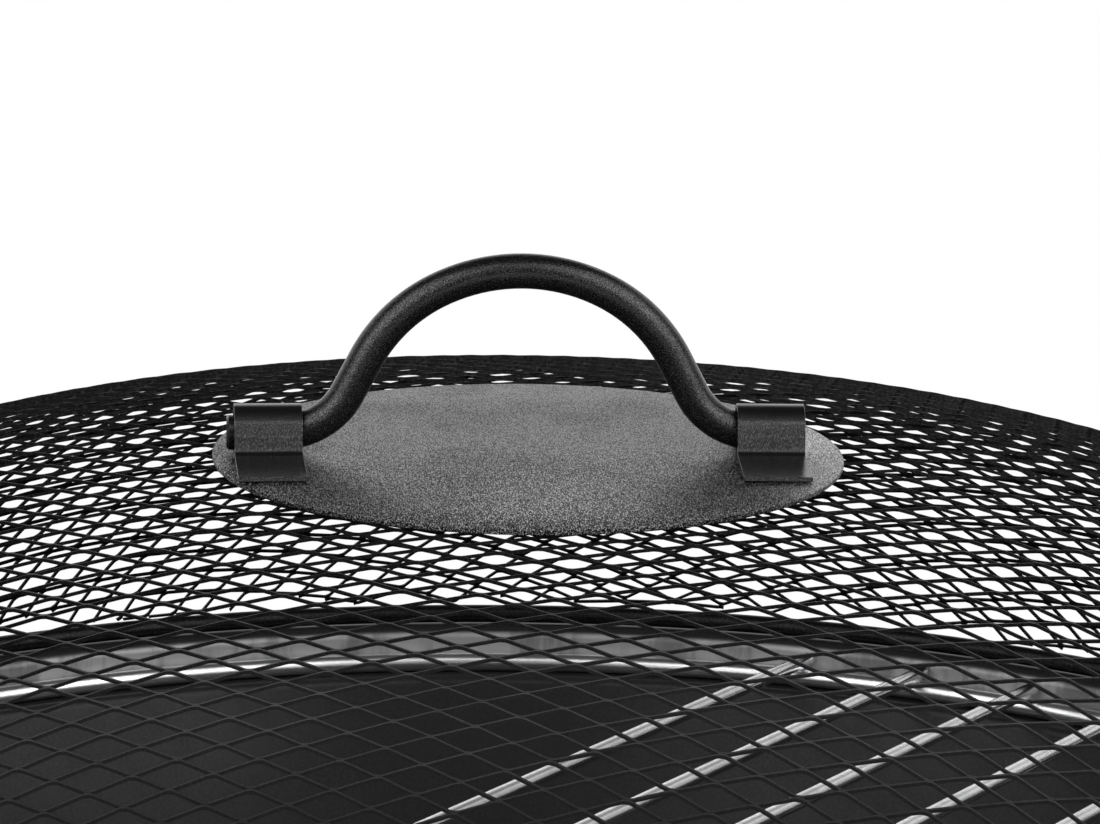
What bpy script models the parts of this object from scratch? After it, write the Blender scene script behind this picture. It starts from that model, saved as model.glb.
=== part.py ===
"""Round steel fire pit: a bowl on four legs, a bright grate in it and a domed spark screen on it.

Metres, +Z up. The origin is on the ground under the middle of the bowl. The screen's handle
lies along X. The screen lifts off upwards, then the grate, and the handle folds about X.
"""

import math

import bmesh
import bpy
from mathutils import Matrix, Vector
from mathutils.geometry import tessellate_polygon

# Clearances
SEAT_GAP = 0.0003
BOLT_CLEARANCE = 0.0004

# Bowl: one pressed sheet with a turned-down rim, an upright neck, a ledge and a hollow
BOWL_SHEET = 0.0018
RIM_HEIGHT = 0.360
RIM_FLAT = 0.0165
RIM_LIP = 0.008
NECK_RADIUS = 0.2765
NECK_DEPTH = 0.0120
LEDGE_WIDTH = 0.0085
WALL_SLOPE = math.radians(14)
WALL_DROP = 0.070
BOWL_DEPTH = 0.150
BASE_RADIUS = 0.115
BASE_PULL = 0.55
WALL_PULL = 0.6
PRESS_BEND = 0.0032
LEDGE_CORNER = 0.0008
TURN_STEPS = 40

# Grate: a round-bar ring on the ledge with straight rods welded across its top
GRATE_BAR = 0.005
GRATE_SIDE_PLAY = 0.001
GRATE_ROD = 0.004
GRATE_ROD_PITCH = 0.0325
GRATE_ROD_COUNT = 6
GRATE_ROD_SHIFT = -0.0026
GRATE_TURN = math.radians(53)

# Spark screen: a dome of expanded metal on a round-bar ring
SCREEN_BAR = 0.005
SCREEN_SEAT = 0.002
SCREEN_HEIGHT = 0.112
DOME_POWER = 3.65
DOME_ROUND = 1.22
MESH_SHEET = 0.002
MESH_STRAND = 0.0030
MESH_LONG_WAY = 0.070
MESH_SHORT_WAY = 0.0407
MESH_TURN = math.radians(-10)
HEM_STEP = 0.040
HEM_WIDTH = 0.003
SMALLEST_HOLE = 0.00006

# Cap disc on the flat top of the screen
DISC_RADIUS = 0.070
DISC_SHEET = 0.001

# Handle: one round bar, bent to an arch with an S bend at each foot, a little off the middle
HANDLE_SHIFT = -0.0020
ROD_RADIUS = 0.0039
ROD_FLOOR_GAP = 0.0007
HANDLE_RISE = 0.0365
ARCH_TOP_RADIUS = 0.041
ARCH_TOP_HALF_ANGLE = math.radians(27)
ARCH_LEG_ANGLE = math.radians(62.7)
FOOT_BEND_RADIUS = 0.0167
LEFT_END_REACH = 0.0016
RIGHT_END_REACH = -0.0008

# Clips: strips folded over the straight ends of the handle, with a flat foot on each side.
# Their front feet are turned in a little towards each other.
CLIP_SHEET = 0.001
CLIP_WIDTH = 0.015
CLIP_SPACING = 0.1115
CLIP_PLAY = 0.0015
CLIP_FOOT_REACH = 0.0283
CLIP_FOOT_BEND = 0.0015
CLIP_TOE_IN = math.radians(2.0)
BEND_INSIDE_CLIP = 0.0047

# Legs: round tube, flattened at the top and bolted to the wall of the bowl
LEG_COUNT = 4
LEG_FIRST_ANGLE = math.radians(45)
LEG_RADIUS = 0.0095
LEG_TAB_WIDTH = 0.028
LEG_TAB_THICKNESS = 0.005
LEG_TAB_LENGTH = 0.050
LEG_TOP_DROP = 0.007
LEG_FOOT_RADIUS = 0.272
LEG_STRAIGHT_FOOT = 0.045
LEG_UPPER_PULL = 0.035
LEG_LOWER_PULL = 0.120
LEG_FORM_LENGTH = 0.085
LEG_SIDES = 10
TAB_SQUARENESS = 0.35

# Foot caps, pushed over the ends of the legs
CAP_WALL = 0.0028
CAP_BASE = 0.004
CAP_HEIGHT = 0.022
CAP_CHAMFER = 0.0015
CAP_SIDES = 16

# Brace ring, welded to the inner side of the legs
BRACE_BAR = 0.008
BRACE_HEIGHT = 0.120

# Bolts and nuts that hold the legs
BOLT_RADIUS = 0.003
BOLT_HEAD_RADIUS = 0.0065
BOLT_HEAD_HEIGHT = 0.0032
BOLT_HEAD_SHOULDER = (0.62, 0.82)
BOLT_HEAD_EDGE = 0.2
BOLT_SIDES = 10
BOLT_TIP = 0.0015
BOLT_EDGE = 0.012
BOLT_SPACING = 0.026
NUT_WIDTH = 0.010
NUT_HEIGHT = 0.005

# Places that follow from the sizes above
LEDGE_HEIGHT = RIM_HEIGHT - NECK_DEPTH
LEDGE_RADIUS = NECK_RADIUS - LEDGE_WIDTH
BASE_HEIGHT = RIM_HEIGHT - BOWL_DEPTH
FACET_COS = math.cos(math.pi / TURN_STEPS)
GRATE_RING_RADIUS = NECK_RADIUS - GRATE_SIDE_PLAY - GRATE_BAR / 2
GRATE_RING_HEIGHT = LEDGE_HEIGHT + SEAT_GAP + GRATE_BAR / 2
SCREEN_RING_RADIUS = NECK_RADIUS + SCREEN_SEAT + SCREEN_BAR / 2
SCREEN_RING_HEIGHT = RIM_HEIGHT + SEAT_GAP + SCREEN_BAR / 2
SCREEN_HEM_HEIGHT = SCREEN_RING_HEIGHT + SCREEN_BAR / 2 + SEAT_GAP
DISC_TOP = SCREEN_RING_HEIGHT + SCREEN_BAR / 2 + SCREEN_HEIGHT
MESH_TOP = DISC_TOP - DISC_SHEET - SEAT_GAP - MESH_SHEET / 2
HANDLE_AXIS_HEIGHT = DISC_TOP + ROD_FLOOR_GAP + ROD_RADIUS
CLIP_INNER_EDGE = (CLIP_SPACING - CLIP_WIDTH) / 2
CLIP_OUTER_EDGE = (CLIP_SPACING + CLIP_WIDTH) / 2
HANDLE_BEND_START = CLIP_INNER_EDGE + BEND_INSIDE_CLIP


# Helpers for outlines


def unit(angle):
    return Vector((math.cos(angle), math.sin(angle)))


def bezier(start, pull_a, pull_b, end, steps):
    """Points of a cubic curve, without its first point."""
    points = []
    for i in range(1, steps + 1):
        t = i / steps
        s = 1 - t
        points.append(s**3 * start + 3 * s * s * t * pull_a + 3 * s * t * t * pull_b + t**3 * end)
    return points


def rounded(corners, radii, steps):
    """An open path through the corners, with each inner corner rounded to its radius."""
    path = [corners[0]]
    for before, corner, after, radius in zip(corners, corners[1:], corners[2:], radii):
        arrive = (corner - before).normalized()
        leave = (after - corner).normalized()
        turn = arrive.angle_signed(leave)
        reach = radius * math.tan(abs(turn) / 2)
        start = corner - arrive * reach
        side = Vector((-arrive.y, arrive.x)) * math.copysign(1, -turn)
        centre = start + side * radius
        for i in range(steps + 1):
            spin = Matrix.Rotation(-turn * i / steps, 2)
            path.append(centre + spin @ (start - centre))
    path.append(corners[-1])
    return path


def sheet_outline(path, left, right):
    """A closed outline round a path: a sheet with the given thickness on each side."""
    sides = ([], [])
    for i, point in enumerate(path):
        arrive = (point - path[i - 1]).normalized() if i else None
        leave = (path[i + 1] - point).normalized() if i + 1 < len(path) else None
        arrive = arrive or leave
        leave = leave or arrive
        along = (arrive + leave).normalized()
        across = Vector((-along.y, along.x)) / along.dot(leave)
        sides[0].append(point + across * left)
        sides[1].append(point - across * right)
    return sides[0] + sides[1][::-1]


# Helpers for objects


def clear_scene():
    for obj in list(bpy.data.objects):
        bpy.data.objects.remove(obj, do_unlink=True)


def finish(name, colour, metallic, roughness):
    """The material of one piece."""
    material = bpy.data.materials.new(name + "_finish")
    material.use_nodes = True
    shader = material.node_tree.nodes["Principled BSDF"]
    shader.inputs["Base Color"].default_value = (*colour, 1)
    shader.inputs["Metallic"].default_value = metallic
    shader.inputs["Roughness"].default_value = roughness
    material.diffuse_color = (*colour, 1)
    return material


def powder_coat(name):
    return finish(name, (0.018, 0.018, 0.019), 0.1, 0.5)


def bright_chrome(name):
    return finish(name, (0.78, 0.78, 0.79), 1.0, 0.12)


def zinc(name):
    return finish(name, (0.42, 0.42, 0.43), 1.0, 0.35)


def add_object(name, data, material, parent=None):
    data.materials.clear()
    data.materials.append(material)
    obj = bpy.data.objects.new(name, data)
    bpy.context.collection.objects.link(obj)
    if parent:
        obj.parent = parent
        obj.matrix_parent_inverse = parent.matrix_world.inverted()
    return obj


def smooth(mesh, degrees=35):
    mesh.shade_smooth()
    mesh.set_sharp_from_angle(angle=math.radians(degrees))


def mesh_from(name, points, faces):
    mesh = bpy.data.meshes.new(name)
    mesh.from_pydata([tuple(p) for p in points], [], faces)
    smooth(mesh)
    return mesh


def mesh_from_bmesh(name, bm):
    bmesh.ops.recalc_face_normals(bm, faces=bm.faces)
    mesh = bpy.data.meshes.new(name)
    bm.to_mesh(mesh)
    bm.free()
    smooth(mesh)
    return mesh


def turned(name, outline, closed=True):
    """The outline, given as radius and height, turned round the Z axis."""
    bm = bmesh.new()
    half_step = Matrix.Rotation(math.pi / TURN_STEPS, 3, "Z")
    verts = [bm.verts.new(half_step @ Vector((p.x, 0, p.y))) for p in outline]
    edges = [bm.edges.new(pair) for pair in zip(verts, verts[1:])]
    if closed:
        edges.append(bm.edges.new((verts[-1], verts[0])))
    bmesh.ops.spin(
        bm,
        geom=verts + edges,
        cent=(0, 0, 0),
        axis=(0, 0, 1),
        angle=2 * math.pi,
        steps=TURN_STEPS,
    )
    bmesh.ops.remove_doubles(bm, verts=bm.verts, dist=1e-6)
    return mesh_from_bmesh(name, bm)


def ring_bar(name, radius, height, bar, sides=6):
    """A round bar bent to a closed ring."""
    centre = Vector((radius, height))
    turn = 2 * math.pi / sides
    outline = [centre + unit((i + 0.5) * turn) * bar / 2 for i in range(sides)]
    return turned(name, outline)


def loft(name, rings):
    """A solid through rings of as many points each, with flat ends."""
    count = len(rings[0])
    points = [p for ring in rings for p in ring]
    faces = [list(range(count))[::-1]]
    for k in range(len(rings) - 1):
        for i in range(count):
            j = (i + 1) % count
            low, high = k * count, (k + 1) * count
            faces.append([low + i, low + j, high + j, high + i])
    faces.append([(len(rings) - 1) * count + i for i in range(count)])
    bm = bmesh.new()
    verts = [bm.verts.new(p) for p in points]
    for face in faces:
        bm.faces.new([verts[i] for i in face])
    return mesh_from_bmesh(name, bm)


def frame_along(direction):
    """A turn that takes +Z to the direction."""
    return Vector((0, 0, 1)).rotation_difference(direction).to_matrix().to_4x4()


def round_bar(name, start, end, radius, sides=8):
    bm = bmesh.new()
    middle = Matrix.Translation((start + end) / 2) @ frame_along(end - start)
    bmesh.ops.create_cone(
        bm,
        cap_ends=True,
        segments=sides,
        radius1=radius,
        radius2=radius,
        depth=(end - start).length,
        matrix=middle,
    )
    return mesh_from_bmesh(name, bm)


def drill(target, holes, radius, length):
    """Cuts round holes. Each hole is a point on its axis and a direction."""
    bm = bmesh.new()
    for point, direction in holes:
        bmesh.ops.create_cone(
            bm,
            cap_ends=True,
            segments=12,
            radius1=radius,
            radius2=radius,
            depth=length,
            matrix=Matrix.Translation(point) @ frame_along(direction),
        )
    cutter = bpy.data.objects.new(target.name + "_drill", mesh_from_bmesh("drill", bm))
    bpy.context.collection.objects.link(cutter)
    cutter.hide_render = True
    cutter.display_type = "WIRE"
    cut = target.modifiers.new("Holes", "BOOLEAN")
    cut.operation = "DIFFERENCE"
    cut.solver = "EXACT"
    cut.object = cutter
    return cutter


def drilled_mesh(name, mesh, holes, radius, length):
    """A copy of the mesh with holes, for pieces that are made more than once."""
    blank = bpy.data.objects.new(name, mesh)
    bpy.context.collection.objects.link(blank)
    cutter = drill(blank, holes, radius, length)
    bpy.context.view_layer.update()
    graph = bpy.context.evaluated_depsgraph_get()
    result = bpy.data.meshes.new_from_object(blank.evaluated_get(graph))
    bpy.data.objects.remove(cutter, do_unlink=True)
    bpy.data.objects.remove(blank, do_unlink=True)
    smooth(result)
    return result


# Bowl


def wall_radius(height):
    """Inner radius of the bowl's straight wall at a height."""
    return LEDGE_RADIUS - math.tan(WALL_SLOPE) * (LEDGE_HEIGHT - height)


def bowl_outline():
    wall_foot_height = LEDGE_HEIGHT - WALL_DROP
    wall_foot = Vector((wall_radius(wall_foot_height), wall_foot_height))
    base_edge = Vector((BASE_RADIUS, BASE_HEIGHT))
    down_wall = -Vector((math.sin(WALL_SLOPE), math.cos(WALL_SLOPE)))
    drop = wall_foot_height - BASE_HEIGHT
    pull_out = base_edge + Vector((BASE_PULL * (wall_foot.x - BASE_RADIUS), 0))
    pull_down = wall_foot + down_wall * WALL_PULL * drop
    hollow = bezier(base_edge, pull_out, pull_down, wall_foot, 5)
    rim_radius = NECK_RADIUS + RIM_FLAT
    upper = rounded(
        [
            hollow[-1],
            Vector((LEDGE_RADIUS, LEDGE_HEIGHT)),
            Vector((NECK_RADIUS, LEDGE_HEIGHT)),
            Vector((NECK_RADIUS, RIM_HEIGHT)),
            Vector((rim_radius, RIM_HEIGHT)),
            Vector((rim_radius, RIM_HEIGHT - RIM_LIP)),
        ],
        [PRESS_BEND, LEDGE_CORNER, PRESS_BEND, PRESS_BEND],
        1,
    )
    path = [Vector((0, BASE_HEIGHT)), base_edge] + hollow[:-1] + upper
    return sheet_outline(path, 0, BOWL_SHEET)


def leg_angles():
    return [LEG_FIRST_ANGLE + 2 * math.pi * i / LEG_COUNT for i in range(LEG_COUNT)]


def turned_about_z(angle):
    return Matrix.Rotation(angle, 4, "Z")


def make_bowl():
    outline = bowl_outline()
    bowl = add_object("bowl", turned("bowl", outline, closed=False), powder_coat("bowl"))
    holes = []
    for angle in leg_angles():
        for bolt in leg_bolt_frames():
            place = turned_about_z(angle) @ bolt
            holes.append((place.translation, place.col[2].to_3d()))
    drill(bowl, holes, BOLT_RADIUS + BOLT_CLEARANCE, 4 * LEG_TAB_THICKNESS)


# Legs, made at angle 0 with their outer side to +X and then turned into place

WALL_UP = Vector((math.sin(WALL_SLOPE), math.cos(WALL_SLOPE)))
WALL_OUT = Vector((math.cos(WALL_SLOPE), -math.sin(WALL_SLOPE)))


def wall_face(height):
    """A point on the flat outer face of the bowl's wall, where a leg lies on it."""
    radius = wall_radius(height) + BOWL_SHEET / math.cos(WALL_SLOPE)
    return Vector((radius * FACET_COS, height))


def leg_tab_top():
    face = wall_face(LEDGE_HEIGHT - BOWL_SHEET - LEG_TOP_DROP)
    return face + WALL_OUT * (SEAT_GAP + LEG_TAB_THICKNESS / 2)


def leg_path():
    """The middle line of a leg, as radius and height, from its top to the floor end."""
    top = leg_tab_top()
    tab_end = top - WALL_UP * LEG_TAB_LENGTH
    foot_end = Vector((LEG_FOOT_RADIUS, CAP_BASE + SEAT_GAP))
    foot_top = foot_end + Vector((0, LEG_STRAIGHT_FOOT))
    pull_a = tab_end - WALL_UP * LEG_UPPER_PULL
    pull_b = foot_top + Vector((0, LEG_LOWER_PULL))
    return [top, tab_end] + bezier(tab_end, pull_a, pull_b, foot_top, 9) + [foot_end]


def leg_section(centre, along, formed):
    """The points round a leg. Formed is 0 for the flat top and 1 for the round tube."""
    half_width = LEG_TAB_WIDTH / 2 + (LEG_RADIUS - LEG_TAB_WIDTH / 2) * formed
    half_depth = LEG_TAB_THICKNESS / 2 + (LEG_RADIUS - LEG_TAB_THICKNESS / 2) * formed
    squareness = TAB_SQUARENESS + (1 - TAB_SQUARENESS) * formed
    out = Vector((-along.y, along.x))
    ring = []
    for i in range(LEG_SIDES):
        c, s = unit(2 * math.pi * (i + 0.5) / LEG_SIDES)
        across = math.copysign(abs(c) ** squareness, c) * half_width
        depth = math.copysign(abs(s) ** squareness, s) * half_depth
        flat = centre + out * depth
        ring.append(Vector((flat.x, across, flat.y)))
    return ring


def leg_mesh():
    path = leg_path()
    rings = []
    formed_from = path[1]
    for i, point in enumerate(path):
        before, after = path[max(i - 1, 0)], path[min(i + 1, len(path) - 1)]
        along = (after - before).normalized()
        if i == 1:
            along = -WALL_UP
        share = 0.0
        if i > 1:
            share = min((formed_from - point).length / LEG_FORM_LENGTH, 1.0)
        rings.append(leg_section(point, along, share * share * (3 - 2 * share)))
    plain = loft("leg", rings)
    holes = [(m.translation, m.col[2].to_3d()) for m in leg_bolt_frames()]
    return drilled_mesh("leg", plain, holes, BOLT_RADIUS + BOLT_CLEARANCE, 4 * LEG_TAB_THICKNESS)


def leg_bolt_frames():
    """Frames at angle 0 on the tab's outer face, with +Z out of the bowl, upper bolt first."""
    out = Vector((WALL_OUT.x, 0, WALL_OUT.y))
    frames = []
    for drop in (BOLT_EDGE, BOLT_EDGE + BOLT_SPACING):
        flat = leg_tab_top() - WALL_UP * drop + WALL_OUT * LEG_TAB_THICKNESS / 2
        frames.append(Matrix.Translation((flat.x, 0, flat.y)) @ frame_along(out))
    return frames


def lathe_piece(name, outline, sides):
    """A small turned piece with few sides. The outline starts and ends on the Z axis."""
    bm = bmesh.new()
    loops = []
    for point in outline:
        count = sides if point.x else 1
        spots = [unit(2 * math.pi * i / count) * point.x for i in range(count)]
        loops.append([bm.verts.new((s.x, s.y, point.y)) for s in spots])
    for low, high in zip(loops, loops[1:]):
        for i in range(sides):
            j = (i + 1) % sides
            corners = [low[i % len(low)], low[j % len(low)], high[j % len(high)], high[i % len(high)]]
            bm.faces.new(list(dict.fromkeys(corners)))
    return mesh_from_bmesh(name, bm)


def bolt_mesh():
    """A round-headed bolt. The head's flat underside is at height 0."""
    length = LEG_TAB_THICKNESS + BOWL_SHEET + NUT_HEIGHT + 3 * SEAT_GAP + BOLT_TIP
    shoulder_out, shoulder_up = BOLT_HEAD_SHOULDER
    outline = [
        Vector((0, BOLT_HEAD_HEIGHT)),
        Vector((BOLT_HEAD_RADIUS * shoulder_out, BOLT_HEAD_HEIGHT * shoulder_up)),
        Vector((BOLT_HEAD_RADIUS, BOLT_HEAD_HEIGHT * BOLT_HEAD_EDGE)),
        Vector((BOLT_HEAD_RADIUS, 0)),
        Vector((BOLT_RADIUS, 0)),
        Vector((BOLT_RADIUS, -length)),
        Vector((0, -length)),
    ]
    return lathe_piece("bolt", outline, BOLT_SIDES)


def nut_mesh():
    """A hexagonal nut with its hole, from height 0 to its own height."""
    bm = bmesh.new()
    sides = 6
    corner = 1 / math.cos(math.pi / sides)
    bore = (BOLT_RADIUS + BOLT_CLEARANCE) * corner
    width = NUT_WIDTH / 2 * corner
    loops = []
    for height in (0, NUT_HEIGHT):
        spokes = [unit(2 * math.pi * i / sides) for i in range(sides)]
        inner = [bm.verts.new((*(spoke * bore), height)) for spoke in spokes]
        outer = [bm.verts.new((*(spoke * width), height)) for spoke in spokes]
        loops.append((inner, outer))
    (inner_low, outer_low), (inner_high, outer_high) = loops
    for i in range(sides):
        j = (i + 1) % sides
        bm.faces.new((inner_low[i], inner_low[j], outer_low[j], outer_low[i]))
        bm.faces.new((inner_high[i], outer_high[i], outer_high[j], inner_high[j]))
        bm.faces.new((outer_low[i], outer_low[j], outer_high[j], outer_high[i]))
        bm.faces.new((inner_low[j], inner_low[i], inner_high[i], inner_high[j]))
    return mesh_from_bmesh("nut", bm)


def foot_cap_mesh():
    inside = LEG_RADIUS + SEAT_GAP
    outside = inside + CAP_WALL
    outline = [
        Vector((0, 0)),
        Vector((outside - CAP_CHAMFER, 0)),
        Vector((outside, CAP_CHAMFER)),
        Vector((outside, CAP_HEIGHT)),
        Vector((inside, CAP_HEIGHT)),
        Vector((inside, CAP_BASE)),
        Vector((0, CAP_BASE)),
    ]
    return lathe_piece("foot_cap", outline, CAP_SIDES)


def make_legs():
    leg = leg_mesh()
    bolt = bolt_mesh()
    nut = nut_mesh()
    cap = foot_cap_mesh()
    stack = LEG_TAB_THICKNESS + BOWL_SHEET + NUT_HEIGHT + 2 * SEAT_GAP
    for number, angle in enumerate(leg_angles(), 1):
        turn = turned_about_z(angle)
        obj = add_object(f"leg_{number}", leg.copy(), powder_coat(f"leg_{number}"))
        obj.matrix_world = turn
        rubber = finish(f"foot_cap_{number}", (0.02, 0.02, 0.02), 0.0, 0.7)
        obj = add_object(f"foot_cap_{number}", cap.copy(), rubber)
        obj.matrix_world = turn @ Matrix.Translation((LEG_FOOT_RADIUS, 0, 0))
        for place, frame in zip(("upper", "lower"), leg_bolt_frames()):
            name = f"leg_bolt_{place}_{number}"
            obj = add_object(name, bolt.copy(), zinc(name))
            obj.matrix_world = turn @ frame @ Matrix.Translation((0, 0, SEAT_GAP))
            name = f"leg_nut_{place}_{number}"
            obj = add_object(name, nut.copy(), zinc(name))
            obj.matrix_world = turn @ frame @ Matrix.Translation((0, 0, -stack))


def leg_inner_radius(height):
    """How far from the middle the round part of a leg starts, at a height."""
    path = leg_path()
    for high, low in zip(path, path[1:]):
        if low.y <= height <= high.y:
            share = (high.y - height) / (high.y - low.y)
            middle = high.x + (low.x - high.x) * share
            lean = math.atan2(abs(low.x - high.x), high.y - low.y)
            return middle - LEG_RADIUS / math.cos(lean)
    return LEG_FOOT_RADIUS - LEG_RADIUS


def make_brace_ring():
    reach = min(leg_inner_radius(BRACE_HEIGHT + d * BRACE_BAR / 2) for d in (-1, 0, 1))
    radius = (reach - SEAT_GAP - BRACE_BAR / 2) / FACET_COS
    mesh = ring_bar("brace_ring", radius, BRACE_HEIGHT, BRACE_BAR)
    add_object("brace_ring", mesh, powder_coat("brace_ring"))


# Grate


def empty_at(name, location):
    empty = bpy.data.objects.new(name, None)
    bpy.context.collection.objects.link(empty)
    empty.location = location
    bpy.context.view_layer.update()
    return empty


def make_grate():
    lift = empty_at("grate_lift", (0, 0, GRATE_RING_HEIGHT))
    ring = ring_bar("grate_ring", GRATE_RING_RADIUS, GRATE_RING_HEIGHT, GRATE_BAR)
    add_object("grate_ring", ring, bright_chrome("grate_ring"), lift)
    height = GRATE_RING_HEIGHT + GRATE_BAR / 2 + SEAT_GAP + GRATE_ROD / 2
    reach = GRATE_RING_RADIUS + GRATE_BAR / 2
    along = unit(GRATE_TURN)
    across = Vector((-along.y, along.x))
    for i in range(GRATE_ROD_COUNT):
        offset = (i - (GRATE_ROD_COUNT - 1) / 2) * GRATE_ROD_PITCH + GRATE_ROD_SHIFT
        half = math.sqrt(reach**2 - (abs(offset) + GRATE_ROD / 2) ** 2)
        start = (across * offset - along * half).to_3d() + Vector((0, 0, height))
        end = (across * offset + along * half).to_3d() + Vector((0, 0, height))
        name = f"grate_rod_{i + 1}"
        rod = round_bar(name, start, end, GRATE_ROD / 2)
        add_object(name, rod, bright_chrome(name), lift)


# Spark screen

DOME_DEPTH = MESH_TOP - SCREEN_HEM_HEIGHT
DOME_SAMPLES = 400


def dome_profile():
    """Radius, height and run along the sheet, from the middle of the dome to its hem."""
    table = [(0.0, MESH_TOP, 0.0)]
    for i in range(1, DOME_SAMPLES + 1):
        angle = math.pi / 2 * i / DOME_SAMPLES
        radius = SCREEN_RING_RADIUS * math.sin(angle) ** (2 / DOME_POWER)
        fall = 1 - max(math.cos(angle), 0.0) ** (2 / DOME_ROUND)
        height = MESH_TOP - DOME_DEPTH * fall
        last = table[-1]
        run = last[2] + math.hypot(radius - last[0], height - last[1])
        table.append((radius, height, run))
    return table


def on_dome(table, run):
    """Radius, height and outward normal of the dome at a run along the sheet."""
    low, high = 0, len(table) - 1
    while high - low > 1:
        middle = (low + high) // 2
        if table[middle][2] <= run:
            low = middle
        else:
            high = middle
    a, b = table[low], table[high]
    share = min(max((run - a[2]) / (b[2] - a[2]), 0.0), 1.0)
    step = Vector((b[0] - a[0], b[1] - a[1])).normalized()
    return a[0] + (b[0] - a[0]) * share, a[1] + (b[1] - a[1]) * share, Vector((-step.y, step.x))


def circle_crossing(a, b, radius):
    """Where a line from inside the circle round the origin to outside it, or back, meets it."""
    inner, outer = sorted((a, b), key=lambda p: p.length)
    along = outer - inner
    square = along.dot(along)
    half = inner.dot(along)
    root = half * half - square * (inner.dot(inner) - radius * radius)
    return inner + along * (math.sqrt(root) - half) / square


def clipped(corners, radius):
    """The part of an outline inside a circle. Each point is marked if it is on the circle."""
    points = []
    for a, b in zip(corners, corners[1:] + corners[:1]):
        inside_a, inside_b = a.length < radius, b.length < radius
        if inside_a:
            points.append((a, False))
        if inside_a != inside_b:
            points.append((circle_crossing(a, b, radius), True))
    return points


def with_hem_points(points, radius):
    """Adds points on the blank's edge where a cell's side along the hem is long."""
    result = []
    for (a, a_on), (b, b_on) in zip(points, points[1:] + points[:1]):
        result.append(a)
        if a_on and b_on:
            extra = int((b - a).length / HEM_STEP)
            for i in range(1, extra + 1):
                middle = a.lerp(b, i / (extra + 1))
                result.append(middle.normalized() * radius)
    return result


def mesh_cells(radius):
    """The cells of the expanded metal on its flat blank: for each, its outline and its hole.

    Cells that cross the blank's round edge are cut off there. Small ones have no hole.
    """
    half_long, half_short = MESH_LONG_WAY / 2, MESH_SHORT_WAY / 2
    side_distance = half_long * half_short / math.hypot(half_long, half_short)
    shrink = 1 - MESH_STRAND / 2 / side_distance
    turn = Matrix.Rotation(MESH_TURN, 2)
    columns = int(radius / half_long) + 2
    rows = int(radius / half_short) + 2
    cells = []
    for i in range(-columns, columns + 1):
        for j in range(-rows, rows + 1):
            if (i + j) % 2 == 0:
                continue
            middle = turn @ Vector((i * half_long, j * half_short))
            corners = []
            for di, dj in ((1, 0), (0, 1), (-1, 0), (0, -1)):
                corners.append(turn @ Vector(((i + di) * half_long, (j + dj) * half_short)))
            outline = clipped(corners, radius)
            if len(outline) < 3:
                continue
            inner = [middle + (p - middle) * shrink for p in corners]
            hole = [p for p, _ in clipped(inner, radius - HEM_WIDTH)]
            hole = [p for p, q in zip(hole, hole[1:] + hole[:1]) if (q - p).length > HEM_WIDTH / 2]
            if len(hole) < 3 or area_of(hole) < SMALLEST_HOLE:
                hole = []
            cells.append((with_hem_points(outline, radius), hole))
    return cells


def area_of(outline):
    pairs = zip(outline, outline[1:] + outline[:1])
    return sum(a.x * b.y - a.y * b.x for a, b in pairs) / 2


def metal_of(outline, hole):
    """Faces that fill the outline outside the hole, as numbers into the two lists joined."""
    count = len(outline)
    if not hole:
        return [list(range(count))]
    if count == len(hole) == 4:
        return [[i, (i + 1) % 4, 4 + (i + 1) % 4, 4 + i] for i in range(4)]
    flat = [p.to_3d() for p in outline + hole]
    faces = []
    for a, b, c in tessellate_polygon([flat[:count], flat[count:]]):
        left_hand = (flat[b] - flat[a]).cross(flat[c] - flat[a]).z < 0
        faces.append([a, c, b] if left_hand else [a, b, c])
    return faces


def screen_mesh():
    table = dome_profile()
    blank_radius = table[-1][2]
    points, spots = [], {}

    def place(flat):
        """Both faces of the sheet at a point of the blank. Each point is made once."""
        key = tuple(flat)
        if key not in spots:
            radius, height, normal = on_dome(table, flat.length)
            aim = flat.normalized() if flat.length > 1e-9 else Vector((1, 0))
            middle = (aim * radius).to_3d() + Vector((0, 0, height))
            away = (aim * normal.x).to_3d() + Vector((0, 0, normal.y))
            spots[key] = (len(points), len(points) + 1)
            points.append(middle + away * MESH_SHEET / 2)
            points.append(middle - away * MESH_SHEET / 2)
        return spots[key]

    faces, hem_sides = [], {}
    for outline, hole in mesh_cells(blank_radius):
        outer = [place(p) for p in outline]
        inner = [place(p) for p in hole]
        both = outer + inner
        for face in metal_of(outline, hole):
            faces.append([both[i][0] for i in face])
            faces.append([both[i][1] for i in reversed(face)])
        for a, b in zip(inner, inner[1:] + inner[:1]):
            faces.append([a[0], b[0], b[1], a[1]])
        # A side that two cells share is met twice, once each way, so the hem's sides are left
        for a, b in zip(outer, outer[1:] + outer[:1]):
            if (b, a) in hem_sides:
                del hem_sides[(b, a)]
            else:
                hem_sides[(a, b)] = True
    for a, b in hem_sides:
        faces.append([b[0], a[0], a[1], b[1]])
    return mesh_from("screen_mesh", points, faces)


def clip_mesh(name):
    """A strip folded over the handle's end: foot, wall, crown, wall, foot. Extruded along X."""
    crown = ROD_RADIUS + CLIP_PLAY + CLIP_SHEET / 2
    axis = HANDLE_AXIS_HEIGHT - DISC_TOP
    floor = SEAT_GAP + CLIP_SHEET / 2
    arch = [unit(math.pi * (1 - i / 10)) * crown + Vector((0, axis)) for i in range(11)]
    fold = [Vector((-CLIP_FOOT_REACH, floor)), Vector((-crown, floor)), arch[0]]
    left = rounded(fold, [CLIP_FOOT_BEND], 3)
    right = [Vector((-p.x, p.y)) for p in reversed(left)]
    path = left[:-1] + arch + right[1:]
    outline = sheet_outline(path, CLIP_SHEET / 2, CLIP_SHEET / 2)
    ends = []
    for x in (-CLIP_WIDTH / 2, CLIP_WIDTH / 2):
        ends.append([Vector((x, p.x, p.y)) for p in outline])
    return loft(name, ends)


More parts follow.
